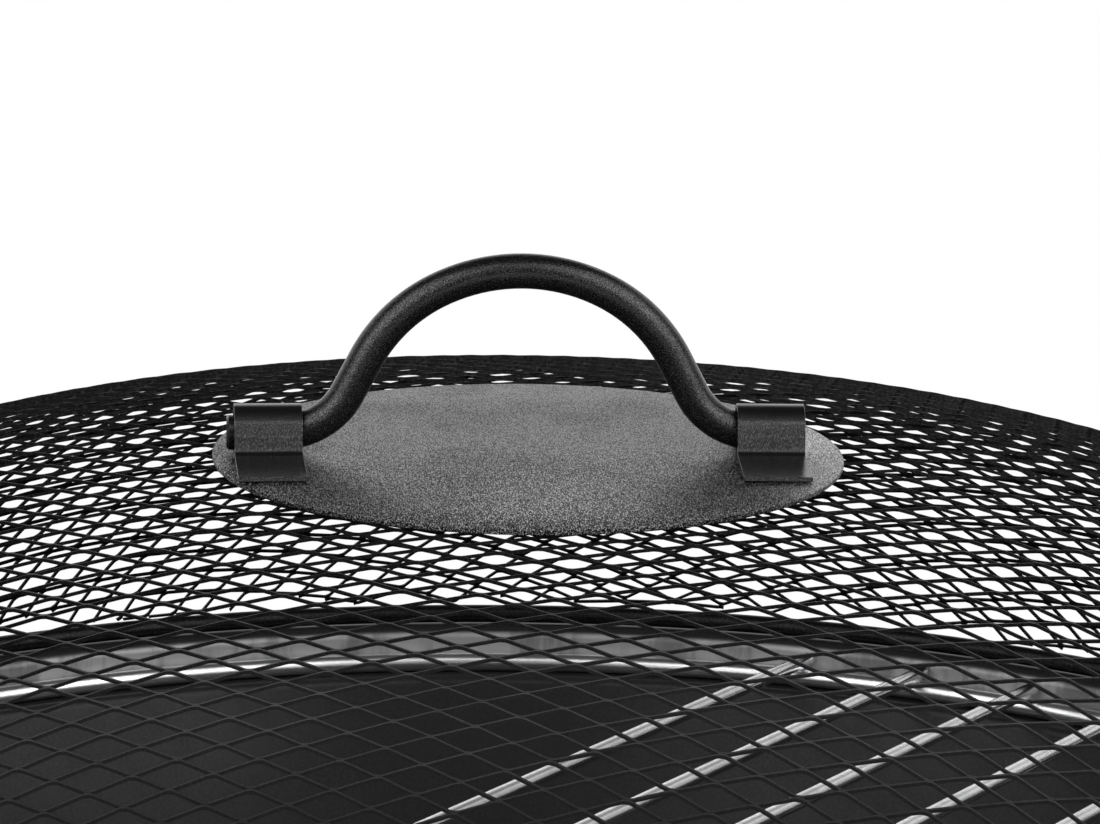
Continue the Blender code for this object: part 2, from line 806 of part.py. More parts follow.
def handle_half(side, end_reach):
    """Points of one half of the handle from its top to its end, about the hinge axis."""
    top_x = ARCH_TOP_RADIUS * math.sin(ARCH_TOP_HALF_ANGLE)
    top_fall = ARCH_TOP_RADIUS * (1 - math.cos(ARCH_TOP_HALF_ANGLE))
    bend_x = FOOT_BEND_RADIUS * math.sin(ARCH_LEG_ANGLE)
    bend_rise = FOOT_BEND_RADIUS * (1 - math.cos(ARCH_LEG_ANGLE))
    # The shoulder's radius and the leg's length close the gap between the top and the foot bend
    x_left = HANDLE_BEND_START - top_x - bend_x
    z_left = HANDLE_RISE - top_fall - bend_rise
    shoulder_x = math.sin(ARCH_LEG_ANGLE) - math.sin(ARCH_TOP_HALF_ANGLE)
    shoulder_z = math.cos(ARCH_TOP_HALF_ANGLE) - math.cos(ARCH_LEG_ANGLE)
    leg_x, leg_z = math.cos(ARCH_LEG_ANGLE), math.sin(ARCH_LEG_ANGLE)
    whole = shoulder_x * leg_z - leg_x * shoulder_z
    shoulder = (x_left * leg_z - leg_x * z_left) / whole
    points = []
    top_centre = Vector((0, HANDLE_RISE - ARCH_TOP_RADIUS))
    for i in range(4):
        points.append(top_centre + unit(math.pi / 2 - ARCH_TOP_HALF_ANGLE * i / 4) * ARCH_TOP_RADIUS)
    joint = unit(math.pi / 2 - ARCH_TOP_HALF_ANGLE)
    shoulder_centre = top_centre + joint * (ARCH_TOP_RADIUS - shoulder)
    sweep = ARCH_LEG_ANGLE - ARCH_TOP_HALF_ANGLE
    for i in range(7):
        angle = math.pi / 2 - ARCH_TOP_HALF_ANGLE - sweep * i / 6
        points.append(shoulder_centre + unit(angle) * shoulder)
    bend_centre = Vector((HANDLE_BEND_START, FOOT_BEND_RADIUS))
    for i in range(7):
        angle = -math.pi / 2 - ARCH_LEG_ANGLE * (1 - i / 6)
        points.append(bend_centre + unit(angle) * FOOT_BEND_RADIUS)
    points.append(Vector((CLIP_OUTER_EDGE + end_reach, 0)))
    return [Vector((side * p.x, 0, p.y)) for p in points]


def handle_curve():
    """A round bar along the handle's middle line. Its origin is on the hinge axis."""
    left = handle_half(-1, LEFT_END_REACH)
    right = handle_half(1, RIGHT_END_REACH)
    points = left[::-1] + right[1:]
    curve = bpy.data.curves.new("lid_handle", "CURVE")
    curve.dimensions = "3D"
    curve.bevel_depth = ROD_RADIUS
    curve.bevel_resolution = 4
    curve.use_fill_caps = True
    spline = curve.splines.new("POLY")
    spline.points.add(len(points) - 1)
    for spot, point in zip(spline.points, points):
        spot.co = (*point, 1)
    return curve


def make_lid():
    lift = empty_at("lid_lift", (0, 0, SCREEN_RING_HEIGHT))
    ring = ring_bar("screen_ring", SCREEN_RING_RADIUS, SCREEN_RING_HEIGHT, SCREEN_BAR)
    add_object("screen_ring", ring, powder_coat("screen_ring"), lift)
    add_object("screen_mesh", screen_mesh(), powder_coat("screen_mesh"), lift)
    disc_low = DISC_TOP - DISC_SHEET
    outline = [
        Vector((0, DISC_TOP)),
        Vector((DISC_RADIUS, DISC_TOP)),
        Vector((DISC_RADIUS, disc_low)),
        Vector((0, disc_low)),
    ]
    disc = turned("cap_disc", outline, closed=False)
    add_object("cap_disc", disc, powder_coat("cap_disc"), lift)
    for side, word in ((-1, "left"), (1, "right")):
        name = f"handle_clip_{word}"
        obj = add_object(name, clip_mesh(name), powder_coat(name), lift)
        obj.location = (HANDLE_SHIFT + side * CLIP_SPACING / 2, 0, DISC_TOP)
        obj.rotation_euler.z = -side * CLIP_TOE_IN
    hinge = empty_at("handle_hinge", (HANDLE_SHIFT, 0, HANDLE_AXIS_HEIGHT))
    handle = add_object("lid_handle", handle_curve(), powder_coat("lid_handle"), hinge)
    handle.location = (HANDLE_SHIFT, 0, HANDLE_AXIS_HEIGHT)


def main():
    clear_scene()
    make_bowl()
    make_legs()
    make_brace_ring()
    make_grate()
    make_lid()


main()
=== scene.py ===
# %% [markdown]
# # A fire pit with a mesh spark screen
#
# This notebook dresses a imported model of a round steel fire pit: a bowl on four legs, a bright
# grate, and a domed screen of expanded metal with a folding handle on a small cap disc.
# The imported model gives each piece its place. We make a finer piece where the eye comes close,
# and give every other piece a better finish. Everything is in metres, with +Z up.

# %% Load the frame
import math

import bmesh
import bpy
import numpy as np
from mathutils import Matrix, Vector


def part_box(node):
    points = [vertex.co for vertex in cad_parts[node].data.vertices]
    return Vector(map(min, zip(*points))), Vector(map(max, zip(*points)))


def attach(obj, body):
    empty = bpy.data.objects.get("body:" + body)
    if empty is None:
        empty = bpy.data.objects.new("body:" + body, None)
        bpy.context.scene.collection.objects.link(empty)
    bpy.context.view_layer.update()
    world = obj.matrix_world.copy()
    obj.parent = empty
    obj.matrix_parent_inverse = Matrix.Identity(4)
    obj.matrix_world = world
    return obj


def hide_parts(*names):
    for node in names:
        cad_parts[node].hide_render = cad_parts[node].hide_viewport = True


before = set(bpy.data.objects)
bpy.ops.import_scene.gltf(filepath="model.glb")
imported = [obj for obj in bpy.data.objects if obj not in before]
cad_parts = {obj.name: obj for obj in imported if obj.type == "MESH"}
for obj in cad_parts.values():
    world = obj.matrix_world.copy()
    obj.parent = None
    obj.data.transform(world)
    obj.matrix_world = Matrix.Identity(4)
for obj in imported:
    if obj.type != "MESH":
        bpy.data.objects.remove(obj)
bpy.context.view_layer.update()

# %% [markdown]
# ## The camera
#
# The picture is a long-lens close-up of the handle, taken from a little above the screen's top.
# We place the camera by where it stands around the middle of the cap disc (how far off, how high,
# how far round), then turn it until that middle falls on its own spot in the picture.

# %% Camera
DISC_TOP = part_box("cap_disc")[1].z
PICTURE = (1100, 824)
DISC_SPOT = (528.2, 452.6)
FOCAL_PIXELS = 4728.8
CAMERA_DISTANCE = 1.050
CAMERA_ROUND = math.radians(-3.5)
CAMERA_UP = math.radians(13.45)
CAMERA_ROLL = math.radians(0.83)
SENSOR_WIDTH = 36


def camera_matrix():
    middle = Vector((0, 0, DISC_TOP))
    level = math.cos(CAMERA_UP)
    away = Vector((
        level * math.sin(CAMERA_ROUND),
        -level * math.cos(CAMERA_ROUND),
        math.sin(CAMERA_UP),
    ))
    right = (-away).cross(Vector((0, 0, 1))).normalized()
    up = right.cross(-away)
    rolled_right = right * math.cos(CAMERA_ROLL) + up * math.sin(CAMERA_ROLL)
    rolled_up = up * math.cos(CAMERA_ROLL) - right * math.sin(CAMERA_ROLL)
    # The picture's middle lies this far from the disc's spot
    aside = (PICTURE[0] / 2 - DISC_SPOT[0]) / FOCAL_PIXELS
    above = (DISC_SPOT[1] - PICTURE[1] / 2) / FOCAL_PIXELS
    forward = (-away + rolled_right * aside + rolled_up * above).normalized()
    side = forward.cross(rolled_up).normalized()
    top = side.cross(forward)
    turn = Matrix((side, top, -forward)).transposed()
    return Matrix.Translation(middle + away * CAMERA_DISTANCE) @ turn.to_4x4()


camera = bpy.data.objects.new("camera", bpy.data.cameras.new("camera"))
bpy.context.scene.collection.objects.link(camera)
camera.matrix_world = camera_matrix()
camera.data.sensor_fit = "HORIZONTAL"
camera.data.sensor_width = SENSOR_WIDTH
camera.data.lens = SENSOR_WIDTH * FOCAL_PIXELS / PICTURE[0]
camera.data.clip_start = 0.02
camera.data.clip_end = 60
bpy.context.scene.camera = camera
print("lens", round(camera.data.lens, 1), "mm at", [round(v, 3) for v in camera.location])

# %% [markdown]
# ## Floor and light
#
# A product on white is lit by large soft sources. Satin black paint shows little colour of its
# own: what the eye reads as its shape is the reflection of the room. So the room matters here.
# Low down it is white behind the object, dimmer at the sides and dark in front. Overhead it is
# dim all round, and two wide soft boxes stand to the left and right of the camera. Between them
# the paint stays dark, which draws the bends. The camera itself sees plain white everywhere.
# The floor is pale and keeps the shadow; far from the object it turns plain white.

# %% Shader helpers


def new_material(name):
    material = bpy.data.materials.new(name)
    material.use_nodes = True
    material.node_tree.nodes.clear()
    return material, material.node_tree


def node(tree, kind, **settings):
    made = tree.nodes.new(kind)
    for key, value in settings.items():
        setattr(made, key, value)
    return made


def feed(tree, socket, value):
    """Links a socket to another, or sets it."""
    if isinstance(value, bpy.types.NodeSocket):
        tree.links.new(value, socket)
    else:
        socket.default_value = value


def maths(tree, operation, *values):
    made = node(tree, "ShaderNodeMath", operation=operation)
    for socket, value in zip(made.inputs, values):
        feed(tree, socket, value)
    return made.outputs[0]


def product(tree, first, *others):
    for other in others:
        first = maths(tree, "MULTIPLY", first, other)
    return first


def vector_maths(tree, operation, *values):
    made = node(tree, "ShaderNodeVectorMath", operation=operation)
    for socket, value in zip(made.inputs, values):
        feed(tree, socket, value)
    return made.outputs["Value" if operation in ("LENGTH", "DOT_PRODUCT") else "Vector"]


def parts_of(tree, vector):
    """The X, Y and Z of a vector."""
    made = node(tree, "ShaderNodeSeparateXYZ")
    tree.links.new(vector, made.inputs[0])
    return made.outputs


def flat(tree, vector):
    """The level part of a vector, with Z left out."""
    return vector_maths(tree, "MULTIPLY", vector, (1, 1, 0))


def steps_between(tree, value, low, high, to_low=0.0, to_high=1.0):
    """A soft step: to_low below low, to_high above high."""
    made = node(tree, "ShaderNodeMapRange", interpolation_type="SMOOTHSTEP")
    feed(tree, made.inputs["Value"], value)
    feed(tree, made.inputs["From Min"], low)
    feed(tree, made.inputs["From Max"], high)
    made.inputs["To Min"].default_value = to_low
    made.inputs["To Max"].default_value = to_high
    return made.outputs["Result"]


def tinted(tree, factor, first, second):
    """A colour between two colours."""
    mix = node(tree, "ShaderNodeMix", data_type="RGBA")
    feed(tree, mix.inputs["Factor"], factor)
    feed(tree, mix.inputs["A"], first)
    feed(tree, mix.inputs["B"], second)
    return mix.outputs["Result"]


def grey(value):
    return (value, value, value * 1.01, 1)


print("shader helpers ready")

# %% Room light
ROOM_LOW = 1.0
ROOM_HIGH = 0.06
ROOM_FRONT = 0.12
ROOM_SIDES = 0.35
# Where each part of the room ends, as parts of a direction of length 1
CEILING_FROM, CEILING_WHOLE = 0.42, 0.66
FRONT_WHOLE, FRONT_TO = -0.97, -0.84
SIDES_WHOLE, SIDES_TO = 0.25, 0.6


def make_world():
    world = bpy.data.worlds.new("room")
    bpy.context.scene.world = world
    world.use_nodes = True
    tree = world.node_tree
    tree.nodes.clear()
    place = node(tree, "ShaderNodeTexCoord").outputs["Generated"]
    height = parts_of(tree, place)["Z"]
    ceiling = steps_between(tree, height, CEILING_FROM, CEILING_WHOLE, ROOM_LOW, ROOM_HIGH)
    # In front, between the soft boxes, the room is dark
    depth = parts_of(tree, vector_maths(tree, "NORMALIZE", flat(tree, place)))["Y"]
    front = steps_between(tree, depth, FRONT_WHOLE, FRONT_TO, ROOM_FRONT, 1.0)
    # Far to the left and right it is dim, which draws the edges of round bars
    beside = maths(tree, "ABSOLUTE", depth)
    sides = steps_between(tree, beside, SIDES_WHOLE, SIDES_TO, ROOM_SIDES, 1.0)
    room = product(tree, ceiling, front, sides)
    path = node(tree, "ShaderNodeLightPath")
    strength = maths(tree, "MAXIMUM", room, path.outputs["Is Camera Ray"])
    light = node(tree, "ShaderNodeBackground")
    feed(tree, light.inputs["Color"], (1, 1, 1, 1))
    feed(tree, light.inputs["Strength"], strength)
    out = node(tree, "ShaderNodeOutputWorld")
    tree.links.new(light.outputs[0], out.inputs[0])


make_world()
bpy.context.scene.view_settings.view_transform = "Standard"
print("room made, from", ROOM_HIGH, "overhead to", ROOM_LOW, "behind")

# %% Soft boxes
BOX_SIZE = 1.9
BOX_DISTANCE = 2.0
BOX_UP = math.radians(38)
BOX_AIM = Vector((0, 0, 0.4))


def soft_box(name, turn, glow):
    """A square lamp that faces the object. Its glow is how bright it looks, 1 being white."""
    lamp = bpy.data.lights.new(name, "AREA")
    lamp.shape = "SQUARE"
    lamp.size = BOX_SIZE
    lamp.energy = math.pi * BOX_SIZE * BOX_SIZE * glow
    box = bpy.data.objects.new(name, lamp)
    bpy.context.scene.collection.objects.link(box)
    level = math.cos(BOX_UP)
    away = Vector((level * math.sin(turn), -level * math.cos(turn), math.sin(BOX_UP)))
    box.location = BOX_AIM + away * BOX_DISTANCE
    box.rotation_euler = (-away).to_track_quat("-Z", "Y").to_euler()


soft_box("soft_box_left", turn=math.radians(-44), glow=2.1)
soft_box("soft_box_right", turn=math.radians(50), glow=2.3)
print(len(bpy.data.lights), "soft boxes made")

# %% Floor
FLOOR_SIZE = 40.0
FLOOR_GREY = 0.86
FLOOR_NEAR = 0.7
FLOOR_FAR = 1.35


def make_floor():
    mesh = bpy.data.meshes.new("floor")
    half = FLOOR_SIZE / 2
    mesh.from_pydata(
        [(-half, -half, 0), (half, -half, 0), (half, half, 0), (-half, half, 0)], [], [(0, 1, 2, 3)]
    )
    floor = bpy.data.objects.new("floor", mesh)
    bpy.context.scene.collection.objects.link(floor)
    material, tree = new_material("pale_floor")
    from_middle = vector_maths(tree, "LENGTH", node(tree, "ShaderNodeTexCoord").outputs["Object"])
    far = steps_between(tree, from_middle, FLOOR_NEAR, FLOOR_FAR)
    path = node(tree, "ShaderNodeLightPath")
    seen = maths(tree, "MAXIMUM", path.outputs["Is Camera Ray"], path.outputs["Is Glossy Ray"])
    paper = node(tree, "ShaderNodeBsdfDiffuse")
    paper.inputs["Color"].default_value = (FLOOR_GREY, FLOOR_GREY, FLOOR_GREY, 1)
    white = node(tree, "ShaderNodeEmission")
    mix = node(tree, "ShaderNodeMixShader")
    tree.links.new(product(tree, far, seen), mix.inputs[0])
    tree.links.new(paper.outputs[0], mix.inputs[1])
    tree.links.new(white.outputs[0], mix.inputs[2])
    out = node(tree, "ShaderNodeOutputMaterial")
    tree.links.new(mix.outputs[0], out.inputs["Surface"])
    mesh.materials.append(material)


make_floor()
print("floor made, plain white from", FLOOR_FAR, "m out")

# %% [markdown]
# ## Finishes
#
# Nearly everything here wears black paint, so the paint gets the most care. Powder paint melts
# into a skin with a fine grain, and a slight orange peel under it. Both come from noise in the
# object's own coordinates, in real sizes, so the grain stays as fine on the disc as on a leg.
# Each effect is a node group with named inputs, built once and used in several materials.

# %% Effect groups
GRAIN_SHARE = 0.6
PEEL_SHARE = 0.4
FLECK_EDGE = 0.1
TONE_SIZE = 1 / 55
# How much noise it takes before a mask starts, and before it is whole
GRIT_FROM_TO = (0.36, 0.64)
DUST_FROM_TO = (0.42, 0.68)
LINE_FROM_TO = (0.45, 0.75)


def new_group(name, inputs, outputs):
    tree = bpy.data.node_groups.new(name, "ShaderNodeTree")
    for label, kind, value in inputs:
        socket = tree.interface.new_socket(label, in_out="INPUT", socket_type="NodeSocket" + kind)
        if value is not None:
            socket.default_value = value
    for label, kind in outputs:
        tree.interface.new_socket(label, in_out="OUTPUT", socket_type="NodeSocket" + kind)
    return tree, tree.nodes.new("NodeGroupInput").outputs, tree.nodes.new("NodeGroupOutput").inputs


def noise(tree, where, size, detail=2.0, roughness=0.5):
    """Noise whose grains are about this size, in metres."""
    made = node(tree, "ShaderNodeTexNoise")
    feed(tree, made.inputs["Vector"], where)
    feed(tree, made.inputs["Scale"], maths(tree, "DIVIDE", 1.0, size))
    made.inputs["Detail"].default_value = detail
    made.inputs["Roughness"].default_value = roughness
    return made.outputs["Fac"]


def paint_grain_group():
    """The grain and orange peel of melted powder paint, with its pale flecks."""
    tree, given, out = new_group(
        "Paint grain",
        [
            ("Place", "Vector", None), ("Grain size", "Float", 0.0006),
            ("Peel size", "Float", 0.003), ("Fleck start", "Float", 0.47),
        ],
        [("Height", "Float"), ("Fleck", "Float"), ("Grit", "Float"), ("Tone", "Float")],
    )
    place, start = given["Place"], given["Fleck start"]
    grain = noise(tree, place, given["Grain size"], 2.0, 0.6)
    peel = noise(tree, place, given["Peel size"], 1.0)
    height = maths(
        tree, "ADD", product(tree, grain, GRAIN_SHARE), product(tree, peel, PEEL_SHARE)
    )
    tree.links.new(height, out["Height"])
    fleck_full = maths(tree, "ADD", start, FLECK_EDGE)
    tree.links.new(steps_between(tree, grain, start, fleck_full), out["Fleck"])
    tree.links.new(steps_between(tree, grain, *GRIT_FROM_TO), out["Grit"])
    tree.links.new(noise(tree, place, TONE_SIZE, 3.0, 0.6), out["Tone"])
    return tree


def dust_group():
    """Dull patches where dust and hands have been."""
    tree, given, out = new_group(
        "Dull patches",
        [("Place", "Vector", None), ("Patch size", "Float", 0.03)],
        [("Mask", "Float")],
    )
    wide = noise(tree, given["Place"], given["Patch size"], 4.0, 0.65)
    tree.links.new(steps_between(tree, wide, *DUST_FROM_TO), out["Mask"])
    return tree


def draw_marks_group():
    """Fine lines that drawing and plating leave along a bar or sheet."""
    tree, given, out = new_group(
        "Draw marks",
        [("Place", "Vector", None), ("Line size", "Float", 0.0004)],
        [("Height", "Float"), ("Mask", "Float")],
    )
    lines = noise(tree, given["Place"], given["Line size"], 3.0, 0.7)
    tree.links.new(lines, out["Height"])
    tree.links.new(steps_between(tree, lines, *LINE_FROM_TO), out["Mask"])
    return tree


PAINT_GRAIN = paint_grain_group()
DULL_PATCHES = dust_group()
DRAW_MARKS = draw_marks_group()
print("effect groups:", [g.name for g in (PAINT_GRAIN, DULL_PATCHES, DRAW_MARKS)])

# %% Finish functions
# The grey metal band on the bowl's neck, a painted reflection: its grey and added roughness
REFLECTION_GREY = 0.55
REFLECTION_ROUGHER = 0.25
TONE_DARK, TONE_PALE = 0.8, 1.25
CLEAN_SMOOTHER, DUSTY_ROUGHER = 0.02, 0.05
PLATING_PATCH = 0.02
RUBBER_GREY, RUBBER_DUSTY_GREY = 0.017, 0.034
RUBBER_ROUGH = (0.62, 0.82)


def use_group(tree, group, place, **values):
    made = node(tree, "ShaderNodeGroup", node_tree=group)
    tree.links.new(place, made.inputs["Place"])
    for label, value in values.items():
        made.inputs[label.replace("_", " ")].default_value = value
    return made.outputs


def object_place(tree, stretch=None):
    """Where a point is on the object, at rest, in metres. A stretch shrinks an axis."""
    place = node(tree, "ShaderNodeTexCoord").outputs["Object"]
    if stretch is None:
        return place
    mapping = node(tree, "ShaderNodeMapping")
    mapping.inputs["Scale"].default_value = stretch
    tree.links.new(place, mapping.inputs["Vector"])
    return mapping.outputs["Vector"]


def face_normal(tree):
    return node(tree, "ShaderNodeNewGeometry").outputs["Normal"]


def bumped(tree, height, depth):
    bump = node(tree, "ShaderNodeBump")
    bump.inputs["Distance"].default_value = depth
    bump.inputs["Strength"].default_value = 1.0
    tree.links.new(height, bump.inputs["Height"])
    return bump.outputs["Normal"]


def principled(tree, **values):
    shader = node(tree, "ShaderNodeBsdfPrincipled")
    for label, value in values.items():
        feed(tree, shader.inputs[label.replace("_", " ")], value)
    out = node(tree, "ShaderNodeOutputMaterial")
    tree.links.new(shader.outputs[0], out.inputs["Surface"])
    return shader


def black_paint(name, base, fleck, roughness, gloss=0.5, grit=0.5, grain=0.0006, depth=0.00006,
                stretch=None, shine=None, worn_and_shade=None, painted_light_and_shade=None, fleck_start=0.47, painted_reflection=None):
    """Black paint: its grain is glossy on the tops and dull in the pits, with duller patches.

    Base and fleck are greys. Shine and worn, where given, are functions that make a factor for
    the gloss and for the flecks; on the disc they also paint highlights and shade. Film is a mask
    function and the grey that it gives: painted light on the screen, painted shade on the clips.
    Rub is a mask function for a band of grey metal, a painted reflection on the bowl's neck."""
    material, tree = new_material(name)
    paint = use_group(
        tree, PAINT_GRAIN, object_place(tree, stretch), Grain_size=grain, Fleck_start=fleck_start
    )
    dull = use_group(tree, DULL_PATCHES, object_place(tree))["Mask"]
    flecks = product(tree, paint["Fleck"], worn_and_shade(tree)) if worn_and_shade else paint["Fleck"]
    ground = tinted(tree, paint["Tone"], grey(base * TONE_DARK), grey(base * TONE_PALE))
    colour = tinted(tree, flecks, ground, grey(fleck))
    # The film grey paints light on the screen's front and shade on the clips' tops
    if painted_light_and_shade:
        colour = tinted(tree, painted_light_and_shade[0](tree), colour, grey(painted_light_and_shade[1]))
    rough = steps_between(
        tree, dull, 0, 1, roughness - CLEAN_SMOOTHER, roughness + DUSTY_ROUGHER
    )
    level = steps_between(tree, paint["Grit"], 0, 1, gloss * (1 - grit), gloss * (1 + grit))
    if shine:
        level = product(tree, level, shine(tree))
    shader = principled(
        tree,
        Base_Color=colour,
        Roughness=rough,
        Specular_IOR_Level=level,
        Normal=bumped(tree, paint["Height"], depth),
    )
    # A band of grey metal where this mask is given: a painted reflection
    if painted_reflection:
        reflecting_band = painted_reflection(tree)
        rougher = maths(tree, "ADD", rough, product(tree, reflecting_band, REFLECTION_ROUGHER))
        feed(tree, shader.inputs["Base Color"], tinted(tree, reflecting_band, colour, grey(REFLECTION_GREY)))
        feed(tree, shader.inputs["Metallic"], reflecting_band)
        feed(tree, shader.inputs["Roughness"], rougher)
    return material


def plated(name, base, roughness, line=0.0004, depth=0.000002, dull_base=None,
           marking=0.8, dulling=1.6):
    """Bright plated steel with faint lines and a few dull patches."""
    material, tree = new_material(name)
    marks = use_group(tree, DRAW_MARKS, object_place(tree), Line_size=line)
    dull = use_group(tree, DULL_PATCHES, object_place(tree), Patch_size=PLATING_PATCH)["Mask"]
    patchy = steps_between(tree, dull, 0, 1, roughness, roughness * dulling)
    principled(
        tree,
        Base_Color=tinted(tree, dull, grey(base), grey(dull_base or base * 0.85)),
        Metallic=1.0,
        Roughness=maths(tree, "ADD", patchy, product(tree, marks["Mask"], roughness * marking)),
        Normal=bumped(tree, marks["Height"], depth),
    )
    return material


def rubber(name):
    material, tree = new_material(name)
    place = object_place(tree)
    skin = use_group(tree, PAINT_GRAIN, place, Grain_size=0.0009, Peel_size=0.004)
    dull = use_group(tree, DULL_PATCHES, place, Patch_size=0.012)["Mask"]
    principled(
        tree,
        Base_Color=tinted(tree, dull, grey(RUBBER_GREY), grey(RUBBER_DUSTY_GREY)),
        Roughness=steps_between(tree, dull, 0, 1, *RUBBER_ROUGH),
        Normal=bumped(tree, skin["Height"], 0.00008),
    )
    return material


print("finish functions ready")

# %% [markdown]
# ## Wear, painted light and painted shade
#
# Paint on a fire pit isn't the same all over. Each function here makes a mask or a factor from
# where a point is on the object, for one finish: painted shade and highlights on the disc,
# painted light on the screen's front, and a painted reflection of grey metal on the bowl's neck.

# %% Wear, painted highlights and painted shade on the disc
# Dark spots of painted shade in front of the clips: where they sit, their size, how dark
SHADE_SPOT_ASIDE = 0.040
SHADE_SPOT_FRONT = -0.040
SHADE_SPOT_NEAR, SHADE_SPOT_FAR = 0.004, 0.034
SHADE_SPOT_DARKEST = 0.45
# Where each change of shine or wear starts and ends, and the factors there
# The shine steps paint highlights on the far half and past the right clip, and shade past the left
# clip
SHINE_BACK = (-0.05, 0.055, 0.42, 1.5)
SHINE_RIGHT = (0.048, 0.064, 1.0, 8.0)
SHINE_LEFT = (-0.064, -0.050, 0.5, 1.0)
WEAR_FRONT = (-0.055, 0.03, 1.0, 0.2)


def painted_shade_spots(tree, place):
    """A darker spot in front of each clip: painted shade beside the handle's feet."""
    aside = maths(tree, "SUBTRACT", maths(tree, "ABSOLUTE", place["X"]), SHADE_SPOT_ASIDE)
    front = maths(tree, "SUBTRACT", place["Y"], SHADE_SPOT_FRONT)
    squares = [maths(tree, "POWER", side, 2.0) for side in (aside, front)]
    away = maths(tree, "SQRT", maths(tree, "ADD", *squares))
    return steps_between(tree, away, SHADE_SPOT_NEAR, SHADE_SPOT_FAR, SHADE_SPOT_DARKEST, 1.0)


def disc_painted_shine(tree):
    """Painted highlights on the disc's far half and past the right clip, painted shade past the
    left.
    """
    place = parts_of(tree, object_place(tree))
    far = steps_between(tree, place["Y"], *SHINE_BACK)
    right = steps_between(tree, place["X"], *SHINE_RIGHT)
    left = steps_between(tree, place["X"], *SHINE_LEFT)
    # The shade spots dim the gloss as well, painted shade
    return product(tree, far, product(tree, left, right), painted_shade_spots(tree, place))


def disc_wear_and_shade(tree):
    """The disc's flecks are strongest in front and fade to the back, with fewer in the painted
    shade spots.
    """
    place = parts_of(tree, object_place(tree))
    front = steps_between(tree, place["Y"], *WEAR_FRONT)
    return product(tree, front, painted_shade_spots(tree, place))


print("disc wear and painted shade ready, shade spots", round(2000 * SHADE_SPOT_FAR), "mm across")


# %% Painted light, painted shade and gloss on the screen, clips and bowl
# Where each mask starts and ends, with the factors there where it has four numbers
# The band of streaked grey metal on the bowl's neck, a painted reflection
REFLECTION_RADIUS = (0.2775, 0.2768)
REFLECTION_FOOT = (0.3495, 0.3520)
REFLECTION_HEAD = (0.3590, 0.3572)
REFLECTION_PATCH = 0.014
REFLECTION_STRETCH = (1, 1, 0.3)
REFLECTION_STREAKS = (0.0, 1.0, 1.0, 0.45)
UP_FROM_TO = (0.35, 0.9)
# The front slope of the screen is painted paler, painted light
FRONT_LIGHT_SPAN = (-0.16, -0.10, 1.0, 0.0)
SHINE_OUTSIDE = (0.0, 0.2, 1.0, 2.4)


# On the clips this mask paints shade: their faces that look up are painted darker
def looking_up(tree):
    """1 on faces that look up, 0 on upright ones."""
    return steps_between(tree, parts_of(tree, face_normal(tree))["Z"], *UP_FROM_TO)


def painted_front_light(tree):
    """The screen's front slope, painted a paler grey: painted light on the near side."""
    return steps_between(tree, parts_of(tree, object_place(tree))["Y"], *FRONT_LIGHT_SPAN)


def neck_painted_reflection(tree):
    """The bowl's upright neck, turned to a band of streaked dull steel: a painted reflection."""
    place = object_place(tree)
    height = parts_of(tree, place)["Z"]
    inside = steps_between(tree, vector_maths(tree, "LENGTH", flat(tree, place)), *REFLECTION_RADIUS)
    foot = steps_between(tree, height, *REFLECTION_FOOT)
    head = steps_between(tree, height, *REFLECTION_HEAD)
    streaked = object_place(tree, REFLECTION_STRETCH)
    streaks = use_group(tree, DULL_PATCHES, streaked, Patch_size=REFLECTION_PATCH)["Mask"]
    reflecting_band = steps_between(tree, streaks, *REFLECTION_STREAKS)
    return product(tree, foot, head, inside, reflecting_band)


def bowl_shine(tree):
    """The bowl keeps its gloss outside. Inside it is duller."""
    outward = vector_maths(tree, "NORMALIZE", flat(tree, object_place(tree)))
    facing = vector_maths(tree, "DOT_PRODUCT", outward, face_normal(tree))
    return steps_between(tree, facing, *SHINE_OUTSIDE)


print("screen and bowl painted light ready, neck's painted reflection up from", REFLECTION_FOOT[0], "m")

# %% [markdown]
# ## The finishes themselves
#
# The disc is rolled sheet, so its grain is drawn out one way. The clips and the handle are
# glossier and finer. Mesh, rings, bowl and legs are coarser and duller, and the grate is plated.

# %% Paint, plating and rubber
# The disc's gloss and flecks carry painted highlights and painted shade
DISC_PAINT = black_paint(
    "disc_paint", 0.003, 0.42, 0.33, gloss=0.5, grit=0.95, grain=0.00024, depth=0.00024,
    stretch=(1, 0.19, 1), shine=disc_painted_shine, worn_and_shade=disc_wear_and_shade, fleck_start=0.54,
)
# The clips' faces that look up are painted darker than their upright faces, painted shade
CLIP_PAINT = black_paint(
    "clip_paint", 0.033, 0.110, 0.17, gloss=0.5, grit=0.5, grain=0.00018, depth=0.00003,
    stretch=(1, 1, 0.3), painted_light_and_shade=(looking_up, 0.004), fleck_start=0.50,
)
HANDLE_PAINT = black_paint(
    "handle_paint", 0.003, 0.040, 0.22, gloss=0.5, grit=0.6, grain=0.00026, depth=0.00010,
    fleck_start=0.56,
)
# The screen's front slope is painted a paler grey, painted light
MESH_PAINT = black_paint(
    "mesh_paint", 0.003, 0.006, 0.36, gloss=0.09, grit=0.4, depth=0.00005,
    painted_light_and_shade=(painted_front_light, 0.018),
)
RING_PAINT = black_paint("ring_paint", 0.004, 0.006, 0.36, gloss=0.25, grit=0.3)
